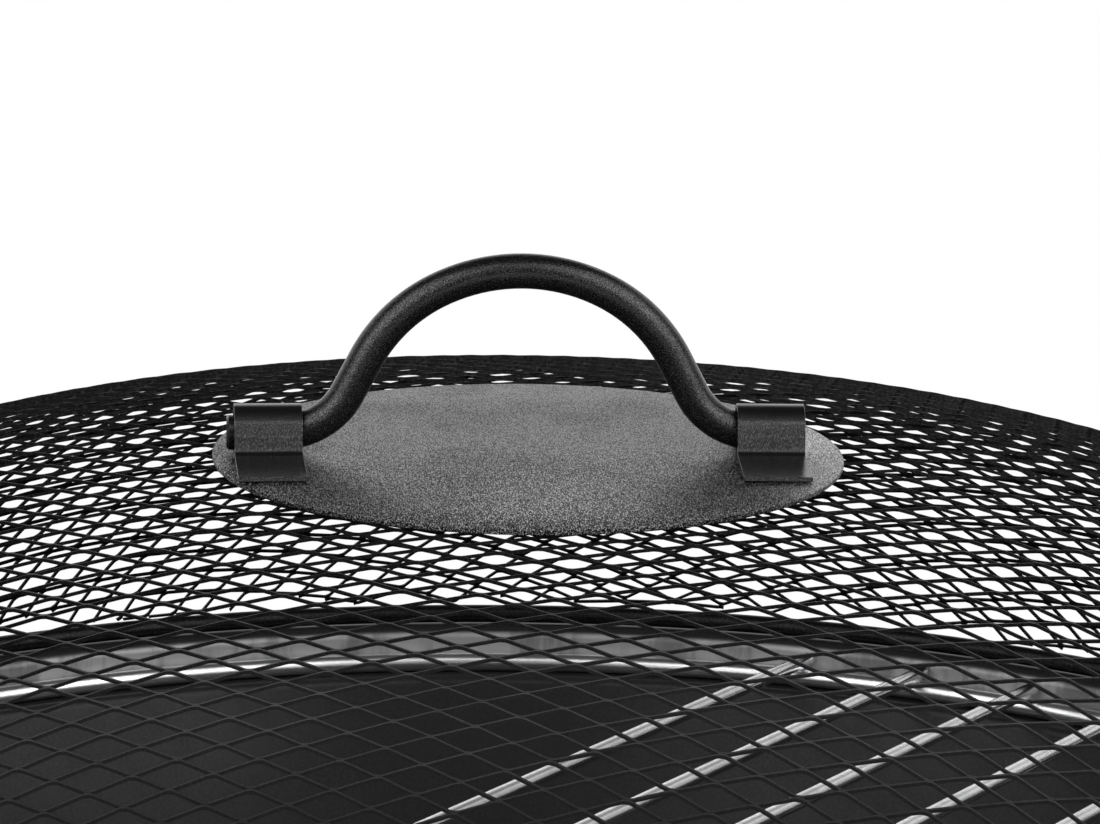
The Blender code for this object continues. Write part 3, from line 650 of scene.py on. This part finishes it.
# The bowl's neck wears a band of streaked grey metal, a painted reflection
BOWL_PAINT = black_paint(
    "bowl_paint", 0.022, 0.025, 0.30, gloss=0.22, grit=0.1, grain=0.0008, depth=0.00001,
    painted_reflection=neck_painted_reflection, shine=bowl_shine,
)
LEG_PAINT = black_paint("leg_paint", 0.010, 0.03, 0.38)
WORN_PAINT = black_paint("worn_edge_paint", 0.012, 0.05, 0.22, gloss=0.8, grit=0.6)
FAINT_MARKS = {"line": 0.002, "depth": 0.0000001, "marking": 0.02, "dulling": 1.1}
CHROME = plated("bright_chrome", 0.96, 0.21, **FAINT_MARKS)
SATIN_CHROME = plated("satin_chrome", 0.97, 0.30, **FAINT_MARKS)
ZINC = plated("zinc_plate", 0.45, 0.32, line=0.0006, dull_base=0.34)
FOOT_RUBBER = rubber("foot_rubber")
print("finishes made:", len(bpy.data.materials))

# %% [markdown]
# ## Helpers for pieces
#
# Three ways of making metal cover most of this object. Sheet is pressed or spun, so we turn a
# profile round the upright axis. Bar is bent, so we sweep a circle along a line. Strip is
# folded, so we push its outline sideways. Arrays keep the long loops quick.

# %% Piece helpers


def add_piece(name, mesh, body, materials, replaces=()):
    """Adds a finished piece, lets it ride on its body, and hides the solids it stands for."""
    obj = bpy.data.objects.new(name, mesh)
    bpy.context.scene.collection.objects.link(obj)
    mesh.materials.clear()
    for material in materials:
        mesh.materials.append(material)
    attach(obj, body)
    if replaces:
        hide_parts(*replaces)
    return obj


def mesh_of(name, points, faces, sharp=35):
    mesh = bpy.data.meshes.new(name)
    mesh.from_pydata([tuple(p) for p in points], [], faces)
    mesh.shade_smooth()
    mesh.set_sharp_from_angle(angle=math.radians(sharp))
    return mesh


print("piece helpers ready")

# %% Outline helpers


def unit(angle):
    return Vector((math.cos(angle), math.sin(angle)))


def rounded(corners, radii, steps):
    """An open path through the corners, with each inner corner rounded to its radius."""
    path = [corners[0]]
    for before, corner, after, radius in zip(corners, corners[1:], corners[2:], radii):
        arrive = (corner - before).normalized()
        leave = (after - corner).normalized()
        turn = arrive.angle_signed(leave)
        reach = radius * math.tan(abs(turn) / 2)
        start = corner - arrive * reach
        side = Vector((-arrive.y, arrive.x)) * math.copysign(1, -turn)
        centre = start + side * radius
        for i in range(steps + 1):
            spin = Matrix.Rotation(-turn * i / steps, 2)
            path.append(centre + spin @ (start - centre))
    path.append(corners[-1])
    return path


def sheet_outline(path, left, right):
    """A closed outline round a path: a sheet with the given thickness on each side."""
    sides = ([], [])
    for i, point in enumerate(path):
        arrive = (point - path[i - 1]).normalized() if i else None
        leave = (path[i + 1] - point).normalized() if i + 1 < len(path) else None
        arrive = arrive or leave
        leave = leave or arrive
        along = (arrive + leave).normalized()
        across = Vector((-along.y, along.x)) / along.dot(leave)
        sides[0].append(point + across * left)
        sides[1].append(point - across * right)
    return sides[0] + sides[1][::-1]


print("outline helpers ready")

# %% Turned and swept shapes


def turned(name, outline, steps, closed=False, sharp=35):
    """An outline of radius and height turned round the Z axis. Open ones end on the axis."""
    bm = bmesh.new()
    rings = []
    for p in outline:
        count = steps if p.x > 1e-9 else 1
        rings.append([
            bm.verts.new((*(unit(2 * math.pi * i / count) * p.x), p.y)) for i in range(count)
        ])
    pairs = list(zip(rings, rings[1:]))
    if closed:
        pairs.append((rings[-1], rings[0]))
    for a, b in pairs:
        for i in range(steps):
            j = (i + 1) % steps
            corners = [a[i % len(a)], a[j % len(a)], b[j % len(b)], b[i % len(b)]]
            corners = list(dict.fromkeys(corners))
            if len(corners) > 2:
                bm.faces.new(corners)
    bmesh.ops.recalc_face_normals(bm, faces=bm.faces)
    mesh = bpy.data.meshes.new(name)
    bm.to_mesh(mesh)
    bm.free()
    mesh.shade_smooth()
    mesh.set_sharp_from_angle(angle=math.radians(sharp))
    return mesh


def ring_bar(name, radius, height, bar, sides=20, steps=240):
    """A round bar bent to a closed ring."""
    middle = Vector((radius, height))
    outline = [middle + unit(2 * math.pi * i / sides) * bar / 2 for i in range(sides)]
    return turned(name, outline, steps, closed=True)


def swept_bar(name, points, radius, sides=28, chamfer=0.0004):
    """A round bar along a line of points, with a small chamfer at each end."""
    points = [Vector(p) for p in points]
    stops = [(points[0], radius - chamfer)]
    start = (points[1] - points[0]).normalized()
    stops.append((points[0] + start * chamfer, radius))
    stops += [(p, radius) for p in points[1:-1]]
    finish = (points[-1] - points[-2]).normalized()
    stops.append((points[-1] - finish * chamfer, radius))
    stops.append((points[-1], radius - chamfer))
    lines = [p for p, _ in stops]
    tangents = []
    for i in range(len(lines)):
        a, b = lines[max(i - 1, 0)], lines[min(i + 1, len(lines) - 1)]
        tangents.append((b - a).normalized())
    across = tangents[0].orthogonal().normalized()
    verts, faces = [], []
    for i, ((point, size), along) in enumerate(zip(stops, tangents)):
        if i:
            across = tangents[i - 1].rotation_difference(along) @ across
        other = along.cross(across)
        for k in range(sides):
            c, s = unit(2 * math.pi * k / sides)
            verts.append(point + (across * c + other * s) * size)
    for i in range(len(stops) - 1):
        for k in range(sides):
            j = (k + 1) % sides
            faces.append((i * sides + k, i * sides + j, (i + 1) * sides + j, (i + 1) * sides + k))
    faces.append(tuple(range(sides))[::-1])
    faces.append(tuple((len(stops) - 1) * sides + k for k in range(sides)))
    return mesh_of(name, verts, faces)


print("turned and swept shapes ready")

# %% [markdown]
# ## The spark screen's mesh
#
# Expanded metal isn't woven. A press cuts rows of short slits in a sheet and pulls it open, so
# each slit becomes a diamond and the metal between two slits a strand. Where four diamonds meet,
# the strands stay joined in a knuckle, and pulling tips every strand the same way.
# So the mesh is a stack of ribbons that run to and fro along the long way of the diamonds, and
# touch the ribbon above and the ribbon below in turn. We lay the ribbons on the flat blank and
# then press the blank into its dome: a point keeps its distance from the middle along the sheet.

# %% Dome shape
SCREEN_RING_RADIUS = 0.281
SCREEN_BAR = 0.005
SCREEN_RING_HEIGHT = (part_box("screen_ring")[0].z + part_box("screen_ring")[1].z) / 2
SEAT_GAP = 0.0003
SHEET_ROOM = 0.002
DISC_SHEET = 0.001
DOME_POWER = 3.65
DOME_ROUND = 1.22
DOME_POINTS = 4001
MESH_TOP = DISC_TOP - DISC_SHEET - SEAT_GAP - SHEET_ROOM / 2
HEM_HEIGHT = SCREEN_RING_HEIGHT + SCREEN_BAR / 2 + SEAT_GAP

angles = np.linspace(0, math.pi / 2, DOME_POINTS)
dome_radius = SCREEN_RING_RADIUS * np.sin(angles) ** (2 / DOME_POWER)
dome_fall = 1 - np.clip(np.cos(angles), 0, 1) ** (2 / DOME_ROUND)
dome_height = MESH_TOP - (MESH_TOP - HEM_HEIGHT) * dome_fall
lengths = np.hypot(np.diff(dome_radius), np.diff(dome_height))
dome_run = np.concatenate([[0], np.cumsum(lengths)])
BLANK_RADIUS = dome_run[-1]
print("the flat blank is", round(2000 * BLANK_RADIUS), "mm across")

# %% Strand sizes
LONG_WAY = 0.01574
SHORT_WAY = 0.00904
MESH_TURN = math.radians(-11.18)
STRAND_WIDTH = 0.00085
STRAND_WAIST = 0.90
STRAND_SHEET = 0.00072
STRAND_TIP = math.radians(12)
STRAND_WANDER = 0.00012
KNUCKLE_SHARE = 0.06
KNUCKLE_OVERLAP = 0.97
KNUCKLE_CLIMB = 0.05
PRESS_LIFT = 0.00048
FIRST_SLIT = (0.00492, 0.00294)
HEM_ROOM = 0.0002
print("cells", round(1000 * LONG_WAY, 2), "by", round(1000 * SHORT_WAY, 2), "mm")

# %% From the flat blank to the dome
SLOPE_STEP = 0.0008


def on_dome(u, v):
    """Points of the dome for points of the blank, with the directions of v and outward there."""
    c, s = math.cos(MESH_TURN), math.sin(MESH_TURN)
    x, y = c * u - s * v, s * u + c * v
    run = np.hypot(x, y)
    safe = np.maximum(run, 1e-9)
    cos_p, sin_p = x / safe, y / safe
    radius = np.interp(run, dome_run, dome_radius)
    height = np.interp(run, dome_run, dome_height)
    ahead, behind = run + SLOPE_STEP, run - SLOPE_STEP
    slope_r = np.interp(ahead, dome_run, dome_radius) - np.interp(behind, dome_run, dome_radius)
    slope_z = np.interp(ahead, dome_run, dome_height) - np.interp(behind, dome_run, dome_height)
    # At the very middle and the very edge one side is missing, so the slope is made whole again
    length = np.maximum(np.hypot(slope_r, slope_z), 1e-9)
    slope_r, slope_z = slope_r / length, slope_z / length
    outward_run = np.stack([cos_p * slope_r, sin_p * slope_r, slope_z], -1)
    round_about = np.stack([-sin_p, cos_p, np.zeros_like(x)], -1)
    normal = np.stack([-cos_p * slope_z, -sin_p * slope_z, slope_r], -1)
    point = np.stack([cos_p * radius, sin_p * radius, height], -1)
    out_share = (c * sin_p - s * cos_p)[..., None]
    round_share = (c * cos_p + s * sin_p)[..., None]
    return point, out_share * outward_run + round_share * round_about, normal


middle_point = on_dome(np.zeros(1), np.zeros(1))[0][0]
print("the blank's middle lands at", middle_point.round(4).tolist())

# %% One ribbon


def ribbon_samples(row):
    """u, v, rise and waist of one ribbon's middle line, between knuckle rows row and row + 1."""
    half_long, half_short = LONG_WAY / 2, SHORT_WAY / 2
    reach = int(BLANK_RADIUS / half_long) + 2
    shares = np.array([KNUCKLE_SHARE, KNUCKLE_SHARE * 2, 1 - KNUCKLE_SHARE * 2, 1 - KNUCKLE_SHARE])
    climb = np.array([0.0, KNUCKLE_CLIMB, 1 - KNUCKLE_CLIMB, 1.0])
    first = np.arange(-reach, reach)
    u = ((first[:, None] + shares[None, :]) * half_long).ravel()
    rising = ((first + row) % 2 == 0)[:, None]
    share = np.where(rising, climb[None, :], 1 - climb[None, :]).ravel()
    lean = STRAND_WIDTH / 2 * KNUCKLE_OVERLAP
    low = row * half_short + lean * math.cos(STRAND_TIP)
    high = (row + 1) * half_short - lean * math.cos(STRAND_TIP)
    v = low + (high - low) * share
    rise = lean * math.sin(STRAND_TIP) * (2 * share - 1)
    # No press is perfect: strands wander a little, in waves that don't fit the cells
    v = v + STRAND_WANDER * np.sin(u * 411 + row * 2.3) * np.sin(u * 173 - row * 1.7)
    u = u + STRAND_WANDER * np.sin(row * 3.1 + u * 97)
    waist = np.tile([1.0, STRAND_WAIST, STRAND_WAIST, 1.0], len(first))
    return u + FIRST_SLIT[0], v + FIRST_SLIT[1], rise, waist


print("a ribbon has", len(ribbon_samples(0)[0]), "points before its ends are cut")

# %% All ribbons as one mesh


def ribbon_mesh(name):
    corner_points, quads, caps, total = [], [], [], 0
    rows = int(BLANK_RADIUS / (SHORT_WAY / 2)) + 2
    ct, st = math.cos(STRAND_TIP), math.sin(STRAND_TIP)
    for row in range(-rows, rows):
        u, v, rise, waist = ribbon_samples(row)
        inside = np.hypot(u, v) < BLANK_RADIUS - HEM_ROOM
        if inside.sum() < 3:
            continue
        u, v, rise, waist = u[inside], v[inside], rise[inside], waist[inside]
        point, along_v, normal = on_dome(u, v)
        ring = []
        for across, through in ((-1, -1), (1, -1), (1, 1), (-1, 1)):
            half = across * waist * STRAND_WIDTH / 2
            off_v = half * ct + through * STRAND_SHEET / 2 * st
            off_n = PRESS_LIFT + rise - half * st + through * STRAND_SHEET / 2 * ct
            ring.append(point + along_v * off_v[:, None] + normal * off_n[:, None])
        corners = np.stack(ring, 1)
        count = len(u)
        base = total + 4 * np.arange(count - 1)[:, None]
        for k in range(4):
            j = (k + 1) % 4
            quads.append(np.concatenate([base + k, base + 4 + k, base + 4 + j, base + j], 1))
        last = total + 4 * (count - 1)
        caps.append([total, total + 1, total + 2, total + 3])
        caps.append([last + 3, last + 2, last + 1, last])
        corner_points.append(corners.reshape(-1, 3))
        total += 4 * count
    points = np.concatenate(corner_points)
    faces = np.concatenate(quads + [np.array(caps)])
    mesh = bpy.data.meshes.new(name)
    mesh.vertices.add(len(points))
    mesh.vertices.foreach_set("co", points.astype(np.float32).ravel())
    mesh.loops.add(faces.size)
    mesh.loops.foreach_set("vertex_index", faces.astype(np.int32).ravel())
    mesh.polygons.add(len(faces))
    mesh.polygons.foreach_set("loop_start", np.arange(0, faces.size, 4, dtype=np.int32))
    mesh.update(calc_edges=True)
    mesh.validate()
    mesh.shade_smooth()
    mesh.set_sharp_from_angle(angle=math.radians(40))
    return mesh


fine_mesh = add_piece(
    "expanded_mesh", ribbon_mesh("expanded_mesh"),
    "lid", [MESH_PAINT], ["screen_mesh"],
)
print("mesh faces:", len(fine_mesh.data.polygons))

# %% [markdown]
# ## Screen ring and cap disc
#
# The dome's cut edge is welded to a ring of round bar, which rests on the bowl's rim. A thin
# round cap covers the flat middle of the dome, where the handle is fixed.

# %% Ring and disc
DISC_RADIUS = 0.070
EDGE_BREAK = 0.00025
EDGE_STEPS = 3
DISC_STEPS = 256


def disc_mesh(name):
    low = DISC_TOP - DISC_SHEET
    corners = [(0, DISC_TOP), (DISC_RADIUS, DISC_TOP), (DISC_RADIUS, low), (0, low)]
    path = rounded([Vector(p) for p in corners], [EDGE_BREAK, EDGE_BREAK], EDGE_STEPS)
    spread = [Vector((DISC_RADIUS * s, DISC_TOP)) for s in (0.25, 0.5, 0.75)]
    return turned(name, path[:1] + spread + path[1:], DISC_STEPS, sharp=50)


add_piece(
    "screen_ring_bar",
    ring_bar("screen_ring_bar", SCREEN_RING_RADIUS, SCREEN_RING_HEIGHT, SCREEN_BAR),
    "lid", [RING_PAINT], ["screen_ring"],
)
add_piece("cap_plate", disc_mesh("cap_plate"), "lid", [DISC_PAINT], ["cap_disc"])
print("disc", round(2000 * DISC_RADIUS), "mm across")

# %% [markdown]
# ## Handle and clips
#
# The handle is one round bar. Its two ends lie flat on the disc, and an S bend lifts each side
# into the arch. Two strips folded over the ends hold it, loosely enough to let it fold down.
# The paint on a folded strip is thin at the edges, so those get a finish of their own.

# %% The handle's line
ROD_RADIUS = 0.0039
HANDLE_HEIGHT = DISC_TOP + 0.0007 + ROD_RADIUS
HANDLE_SHIFT = -0.0020
HANDLE_RISE = 0.0365
ARCH_TOP_RADIUS = 0.041
ARCH_TOP_HALF_ANGLE = math.radians(27)
ARCH_LEG_ANGLE = math.radians(62.7)
FOOT_BEND_RADIUS = 0.0167
LEFT_END_REACH = 0.0016
RIGHT_END_REACH = -0.0008
CLIP_WIDTH = 0.015
CLIP_SPACING = 0.1115
BEND_INSIDE_CLIP = 0.0047
BEND_START = (CLIP_SPACING - CLIP_WIDTH) / 2 + BEND_INSIDE_CLIP
TOP_STEPS, SHOULDER_STEPS, FOOT_STEPS = 10, 20, 16


def handle_half(side, end_reach):
    """One half of the handle's middle line, from its top to its end."""
    top_x = ARCH_TOP_RADIUS * math.sin(ARCH_TOP_HALF_ANGLE)
    top_fall = ARCH_TOP_RADIUS * (1 - math.cos(ARCH_TOP_HALF_ANGLE))
    bend_x = FOOT_BEND_RADIUS * math.sin(ARCH_LEG_ANGLE)
    bend_rise = FOOT_BEND_RADIUS * (1 - math.cos(ARCH_LEG_ANGLE))
    x_left = BEND_START - top_x - bend_x
    z_left = HANDLE_RISE - top_fall - bend_rise
    shoulder_x = math.sin(ARCH_LEG_ANGLE) - math.sin(ARCH_TOP_HALF_ANGLE)
    shoulder_z = math.cos(ARCH_TOP_HALF_ANGLE) - math.cos(ARCH_LEG_ANGLE)
    leg_x, leg_z = math.cos(ARCH_LEG_ANGLE), math.sin(ARCH_LEG_ANGLE)
    shoulder = (x_left * leg_z - leg_x * z_left) / (shoulder_x * leg_z - leg_x * shoulder_z)
    points = []
    top_centre = Vector((0, HANDLE_RISE - ARCH_TOP_RADIUS))
    for i in range(TOP_STEPS):
        angle = math.pi / 2 - ARCH_TOP_HALF_ANGLE * i / TOP_STEPS
        points.append(top_centre + unit(angle) * ARCH_TOP_RADIUS)
    to_shoulder = unit(math.pi / 2 - ARCH_TOP_HALF_ANGLE)
    shoulder_centre = top_centre + to_shoulder * (ARCH_TOP_RADIUS - shoulder)
    sweep = ARCH_LEG_ANGLE - ARCH_TOP_HALF_ANGLE
    for i in range(SHOULDER_STEPS + 1):
        angle = math.pi / 2 - ARCH_TOP_HALF_ANGLE - sweep * i / SHOULDER_STEPS
        points.append(shoulder_centre + unit(angle) * shoulder)
    bend_centre = Vector((BEND_START, FOOT_BEND_RADIUS))
    for i in range(FOOT_STEPS + 1):
        angle = -math.pi / 2 - ARCH_LEG_ANGLE * (1 - i / FOOT_STEPS)
        points.append(bend_centre + unit(angle) * FOOT_BEND_RADIUS)
    end = (CLIP_SPACING + CLIP_WIDTH) / 2 + end_reach
    points += [Vector((BEND_START + (end - BEND_START) * s, 0)) for s in (0.5, 1)]
    return [Vector((HANDLE_SHIFT + side * p.x, 0, HANDLE_HEIGHT + p.y)) for p in points]


handle_line = handle_half(-1, LEFT_END_REACH)[::-1] + handle_half(1, RIGHT_END_REACH)[1:]
bar_length = sum((b - a).length for a, b in zip(handle_line, handle_line[1:]))
print("handle bar", round(1000 * bar_length), "mm long when straight")

# %% Handle
add_piece(
    "arched_handle",
    swept_bar("arched_handle", handle_line, ROD_RADIUS, sides=40, chamfer=0.0005),
    "handle", [HANDLE_PAINT], ["lid_handle"],
)
print("handle top at", round(HANDLE_HEIGHT + HANDLE_RISE + ROD_RADIUS, 4))

# %% Clips
CLIP_SHEET = 0.001
CLIP_PLAY = 0.0015
CLIP_FOOT_REACH = 0.0283
CLIP_FOOT_BEND = 0.002
CLIP_EDGE = 0.00013
CLIP_TOE_IN = math.radians(2.0)
CLIP_ARCH_STEPS, CLIP_BEND_STEPS = 28, 8


def clip_piece(name, side, node_name):
    crown = ROD_RADIUS + CLIP_PLAY + CLIP_SHEET / 2
    axis = HANDLE_HEIGHT - DISC_TOP
    floor = SEAT_GAP + CLIP_SHEET / 2
    spins = [math.pi * (1 - i / CLIP_ARCH_STEPS) for i in range(CLIP_ARCH_STEPS + 1)]
    arch = [unit(spin) * crown + Vector((0, axis)) for spin in spins]
    fold = [Vector((-CLIP_FOOT_REACH, floor)), Vector((-crown, floor)), arch[0]]
    left = rounded(fold, [CLIP_FOOT_BEND], CLIP_BEND_STEPS)
    right = [Vector((-p.x, p.y)) for p in reversed(left)]
    outline = sheet_outline(left[:-1] + arch + right[1:], CLIP_SHEET / 2, CLIP_SHEET / 2)
    count = len(outline)
    place = Matrix.Translation((HANDLE_SHIFT + side * CLIP_SPACING / 2, 0, DISC_TOP))
    place @= Matrix.Rotation(-side * CLIP_TOE_IN, 4, "Z")
    points, faces = [], []
    for x in (-CLIP_WIDTH / 2, CLIP_WIDTH / 2):
        for p in outline:
            points.append(place @ Vector((x, p.x, p.y)))
    half = count // 2
    for i in range(count):
        j = (i + 1) % count
        faces.append((i, j, count + j, count + i))
    for i in range(half - 1):
        a, b = i, count - 1 - i
        faces.append((a, b, b - 1, a + 1))
        faces.append((count + a, count + a + 1, count + b - 1, count + b))
    mesh = mesh_of(name, points, faces)
    bm = bmesh.new()
    bm.from_mesh(mesh)
    bmesh.ops.recalc_face_normals(bm, faces=bm.faces)
    bm.to_mesh(mesh)
    bm.free()
    obj = add_piece(name, mesh, "lid", [CLIP_PAINT, WORN_PAINT], [node_name])
    bevel = obj.modifiers.new("Broken edge", "BEVEL")
    bevel.width = CLIP_EDGE
    bevel.segments = 2
    bevel.limit_method = "ANGLE"
    bevel.angle_limit = math.radians(60)
    bevel.material = 1
    bevel.harden_normals = True
    return obj


clip_piece("folded_clip_left", -1, "handle_clip_left")
clip_piece("folded_clip_right", 1, "handle_clip_right")
print("two clips,", round(1000 * CLIP_WIDTH), "mm wide")

# %% [markdown]
# ## Bowl and grate
#
# The bowl is one pressed sheet: a flat base, a deep round hollow, a straight wall, a ledge for
# the grate and a rolled rim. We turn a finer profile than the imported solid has, so that its
# gloss runs smoothly. The grate is bright bar: a ring on the ledge, with rods across its top.

# %% Bowl sizes
BOWL_SHEET = 0.0018
RIM_HEIGHT = 0.360
RIM_FLAT = 0.0165
RIM_LIP = 0.008
NECK_RADIUS = 0.2765
NECK_DEPTH = 0.0120
LEDGE_WIDTH = 0.0085
WALL_SLOPE = math.radians(14)
WALL_DROP = 0.070
BOWL_DEPTH = 0.150
BASE_RADIUS = 0.115
PRESS_BEND = 0.0032
LEDGE_CORNER = 0.0008
BASE_PULL = 0.55
WALL_PULL = 0.6
LEDGE_HEIGHT = RIM_HEIGHT - NECK_DEPTH
LEDGE_RADIUS = NECK_RADIUS - LEDGE_WIDTH
HOLLOW_STEPS, BEND_STEPS, BOWL_STEPS = 28, 7, 240
print("hollow", round(1000 * BOWL_DEPTH), "mm deep, ledge", round(2000 * LEDGE_RADIUS), "mm across")

# %% Bowl


def bezier(start, pull_a, pull_b, end, count):
    points = []
    for i in range(1, count + 1):
        t = i / count
        s = 1 - t
        points.append(s**3 * start + 3 * s * s * t * pull_a + 3 * s * t * t * pull_b + t**3 * end)
    return points


def bowl_outline():
    foot_height = LEDGE_HEIGHT - WALL_DROP
    wall_foot = Vector((LEDGE_RADIUS - math.tan(WALL_SLOPE) * WALL_DROP, foot_height))
    base_edge = Vector((BASE_RADIUS, RIM_HEIGHT - BOWL_DEPTH))
    down_wall = -Vector((math.sin(WALL_SLOPE), math.cos(WALL_SLOPE)))
    pull_out = base_edge + Vector((BASE_PULL * (wall_foot.x - BASE_RADIUS), 0))
    pull_down = wall_foot + down_wall * WALL_PULL * (foot_height - base_edge.y)
    hollow = bezier(base_edge, pull_out, pull_down, wall_foot, HOLLOW_STEPS)
    rim_radius = NECK_RADIUS + RIM_FLAT
    upper = rounded(
        [
            hollow[-1],
            Vector((LEDGE_RADIUS, LEDGE_HEIGHT)),
            Vector((NECK_RADIUS, LEDGE_HEIGHT)),
            Vector((NECK_RADIUS, RIM_HEIGHT)),
            Vector((rim_radius, RIM_HEIGHT)),
            Vector((rim_radius, RIM_HEIGHT - RIM_LIP)),
        ],
        [PRESS_BEND, LEDGE_CORNER, PRESS_BEND, PRESS_BEND],
        BEND_STEPS,
    )
    path = [Vector((0, base_edge.y)), Vector((BASE_RADIUS / 2, base_edge.y)), base_edge]
    return sheet_outline(path + hollow[:-1] + upper, 0, BOWL_SHEET)


add_piece(
    "pressed_bowl", turned("pressed_bowl", bowl_outline(), BOWL_STEPS),
    "stand", [BOWL_PAINT], ["bowl"],
)
print("rim", round(2000 * (NECK_RADIUS + RIM_FLAT)), "mm across")

# %% Grate
GRATE_BAR = 0.005
GRATE_ROD = 0.004
GRATE_PLAY = 0.001
GRATE_RING_RADIUS = NECK_RADIUS - GRATE_PLAY - GRATE_BAR / 2
GRATE_RING_HEIGHT = LEDGE_HEIGHT + SEAT_GAP + GRATE_BAR / 2
GRATE_TURN = math.radians(53)
GRATE_ROD_PITCH = 0.0325
GRATE_ROD_COUNT = 6
GRATE_ROD_SHIFT = -0.0026

add_piece(
    "bright_ring", ring_bar("bright_ring", GRATE_RING_RADIUS, GRATE_RING_HEIGHT, GRATE_BAR),
    "grate", [SATIN_CHROME], ["grate_ring"],
)
rod_height = GRATE_RING_HEIGHT + GRATE_BAR / 2 + SEAT_GAP + GRATE_ROD / 2
along = unit(GRATE_TURN)
across = Vector((-along.y, along.x))
for i in range(GRATE_ROD_COUNT):
    offset = (i - (GRATE_ROD_COUNT - 1) / 2) * GRATE_ROD_PITCH + GRATE_ROD_SHIFT
    half = math.sqrt((GRATE_RING_RADIUS + GRATE_BAR / 2) ** 2 - (abs(offset) + GRATE_ROD / 2) ** 2)
    ends = [(*(across * offset + along * half * s), rod_height) for s in (-1, 0, 1)]
    name = f"bright_rod_{i + 1}"
    add_piece(
        name, swept_bar(name, ends, GRATE_ROD / 2, sides=24),
        "grate", [CHROME], [f"grate_rod_{i + 1}"],
    )
print(GRATE_ROD_COUNT, "rods on the ring")

# %% [markdown]
# ## The rest of the stand
#
# The brace ring gets a rounder copy. Legs, caps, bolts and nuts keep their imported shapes, and
# each gets the finish it has in the metal.

# %% Brace ring
BRACE_BAR = 0.008
brace_low, brace_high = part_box("brace_ring")
BRACE_HEIGHT = (brace_low.z + brace_high.z) / 2
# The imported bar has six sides, with a flat one outward
BRACE_RADIUS = brace_high.x - BRACE_BAR / 2 * math.cos(math.radians(30))

add_piece(
    "round_brace", ring_bar("round_brace", BRACE_RADIUS, BRACE_HEIGHT, BRACE_BAR),
    "stand", [LEG_PAINT], ["brace_ring"],
)
print("brace ring", round(2000 * BRACE_RADIUS), "mm across")

# %% Stand finishes


def dress(node_name, material):
    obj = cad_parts[node_name]
    obj.data.materials.clear()
    obj.data.materials.append(material)


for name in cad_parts:
    if name.startswith("foot_cap"):
        dress(name, FOOT_RUBBER)
    elif name.startswith(("leg_bolt", "leg_nut")):
        dress(name, ZINC)
    elif name.startswith("leg_"):
        dress(name, LEG_PAINT)
print("stand dressed")
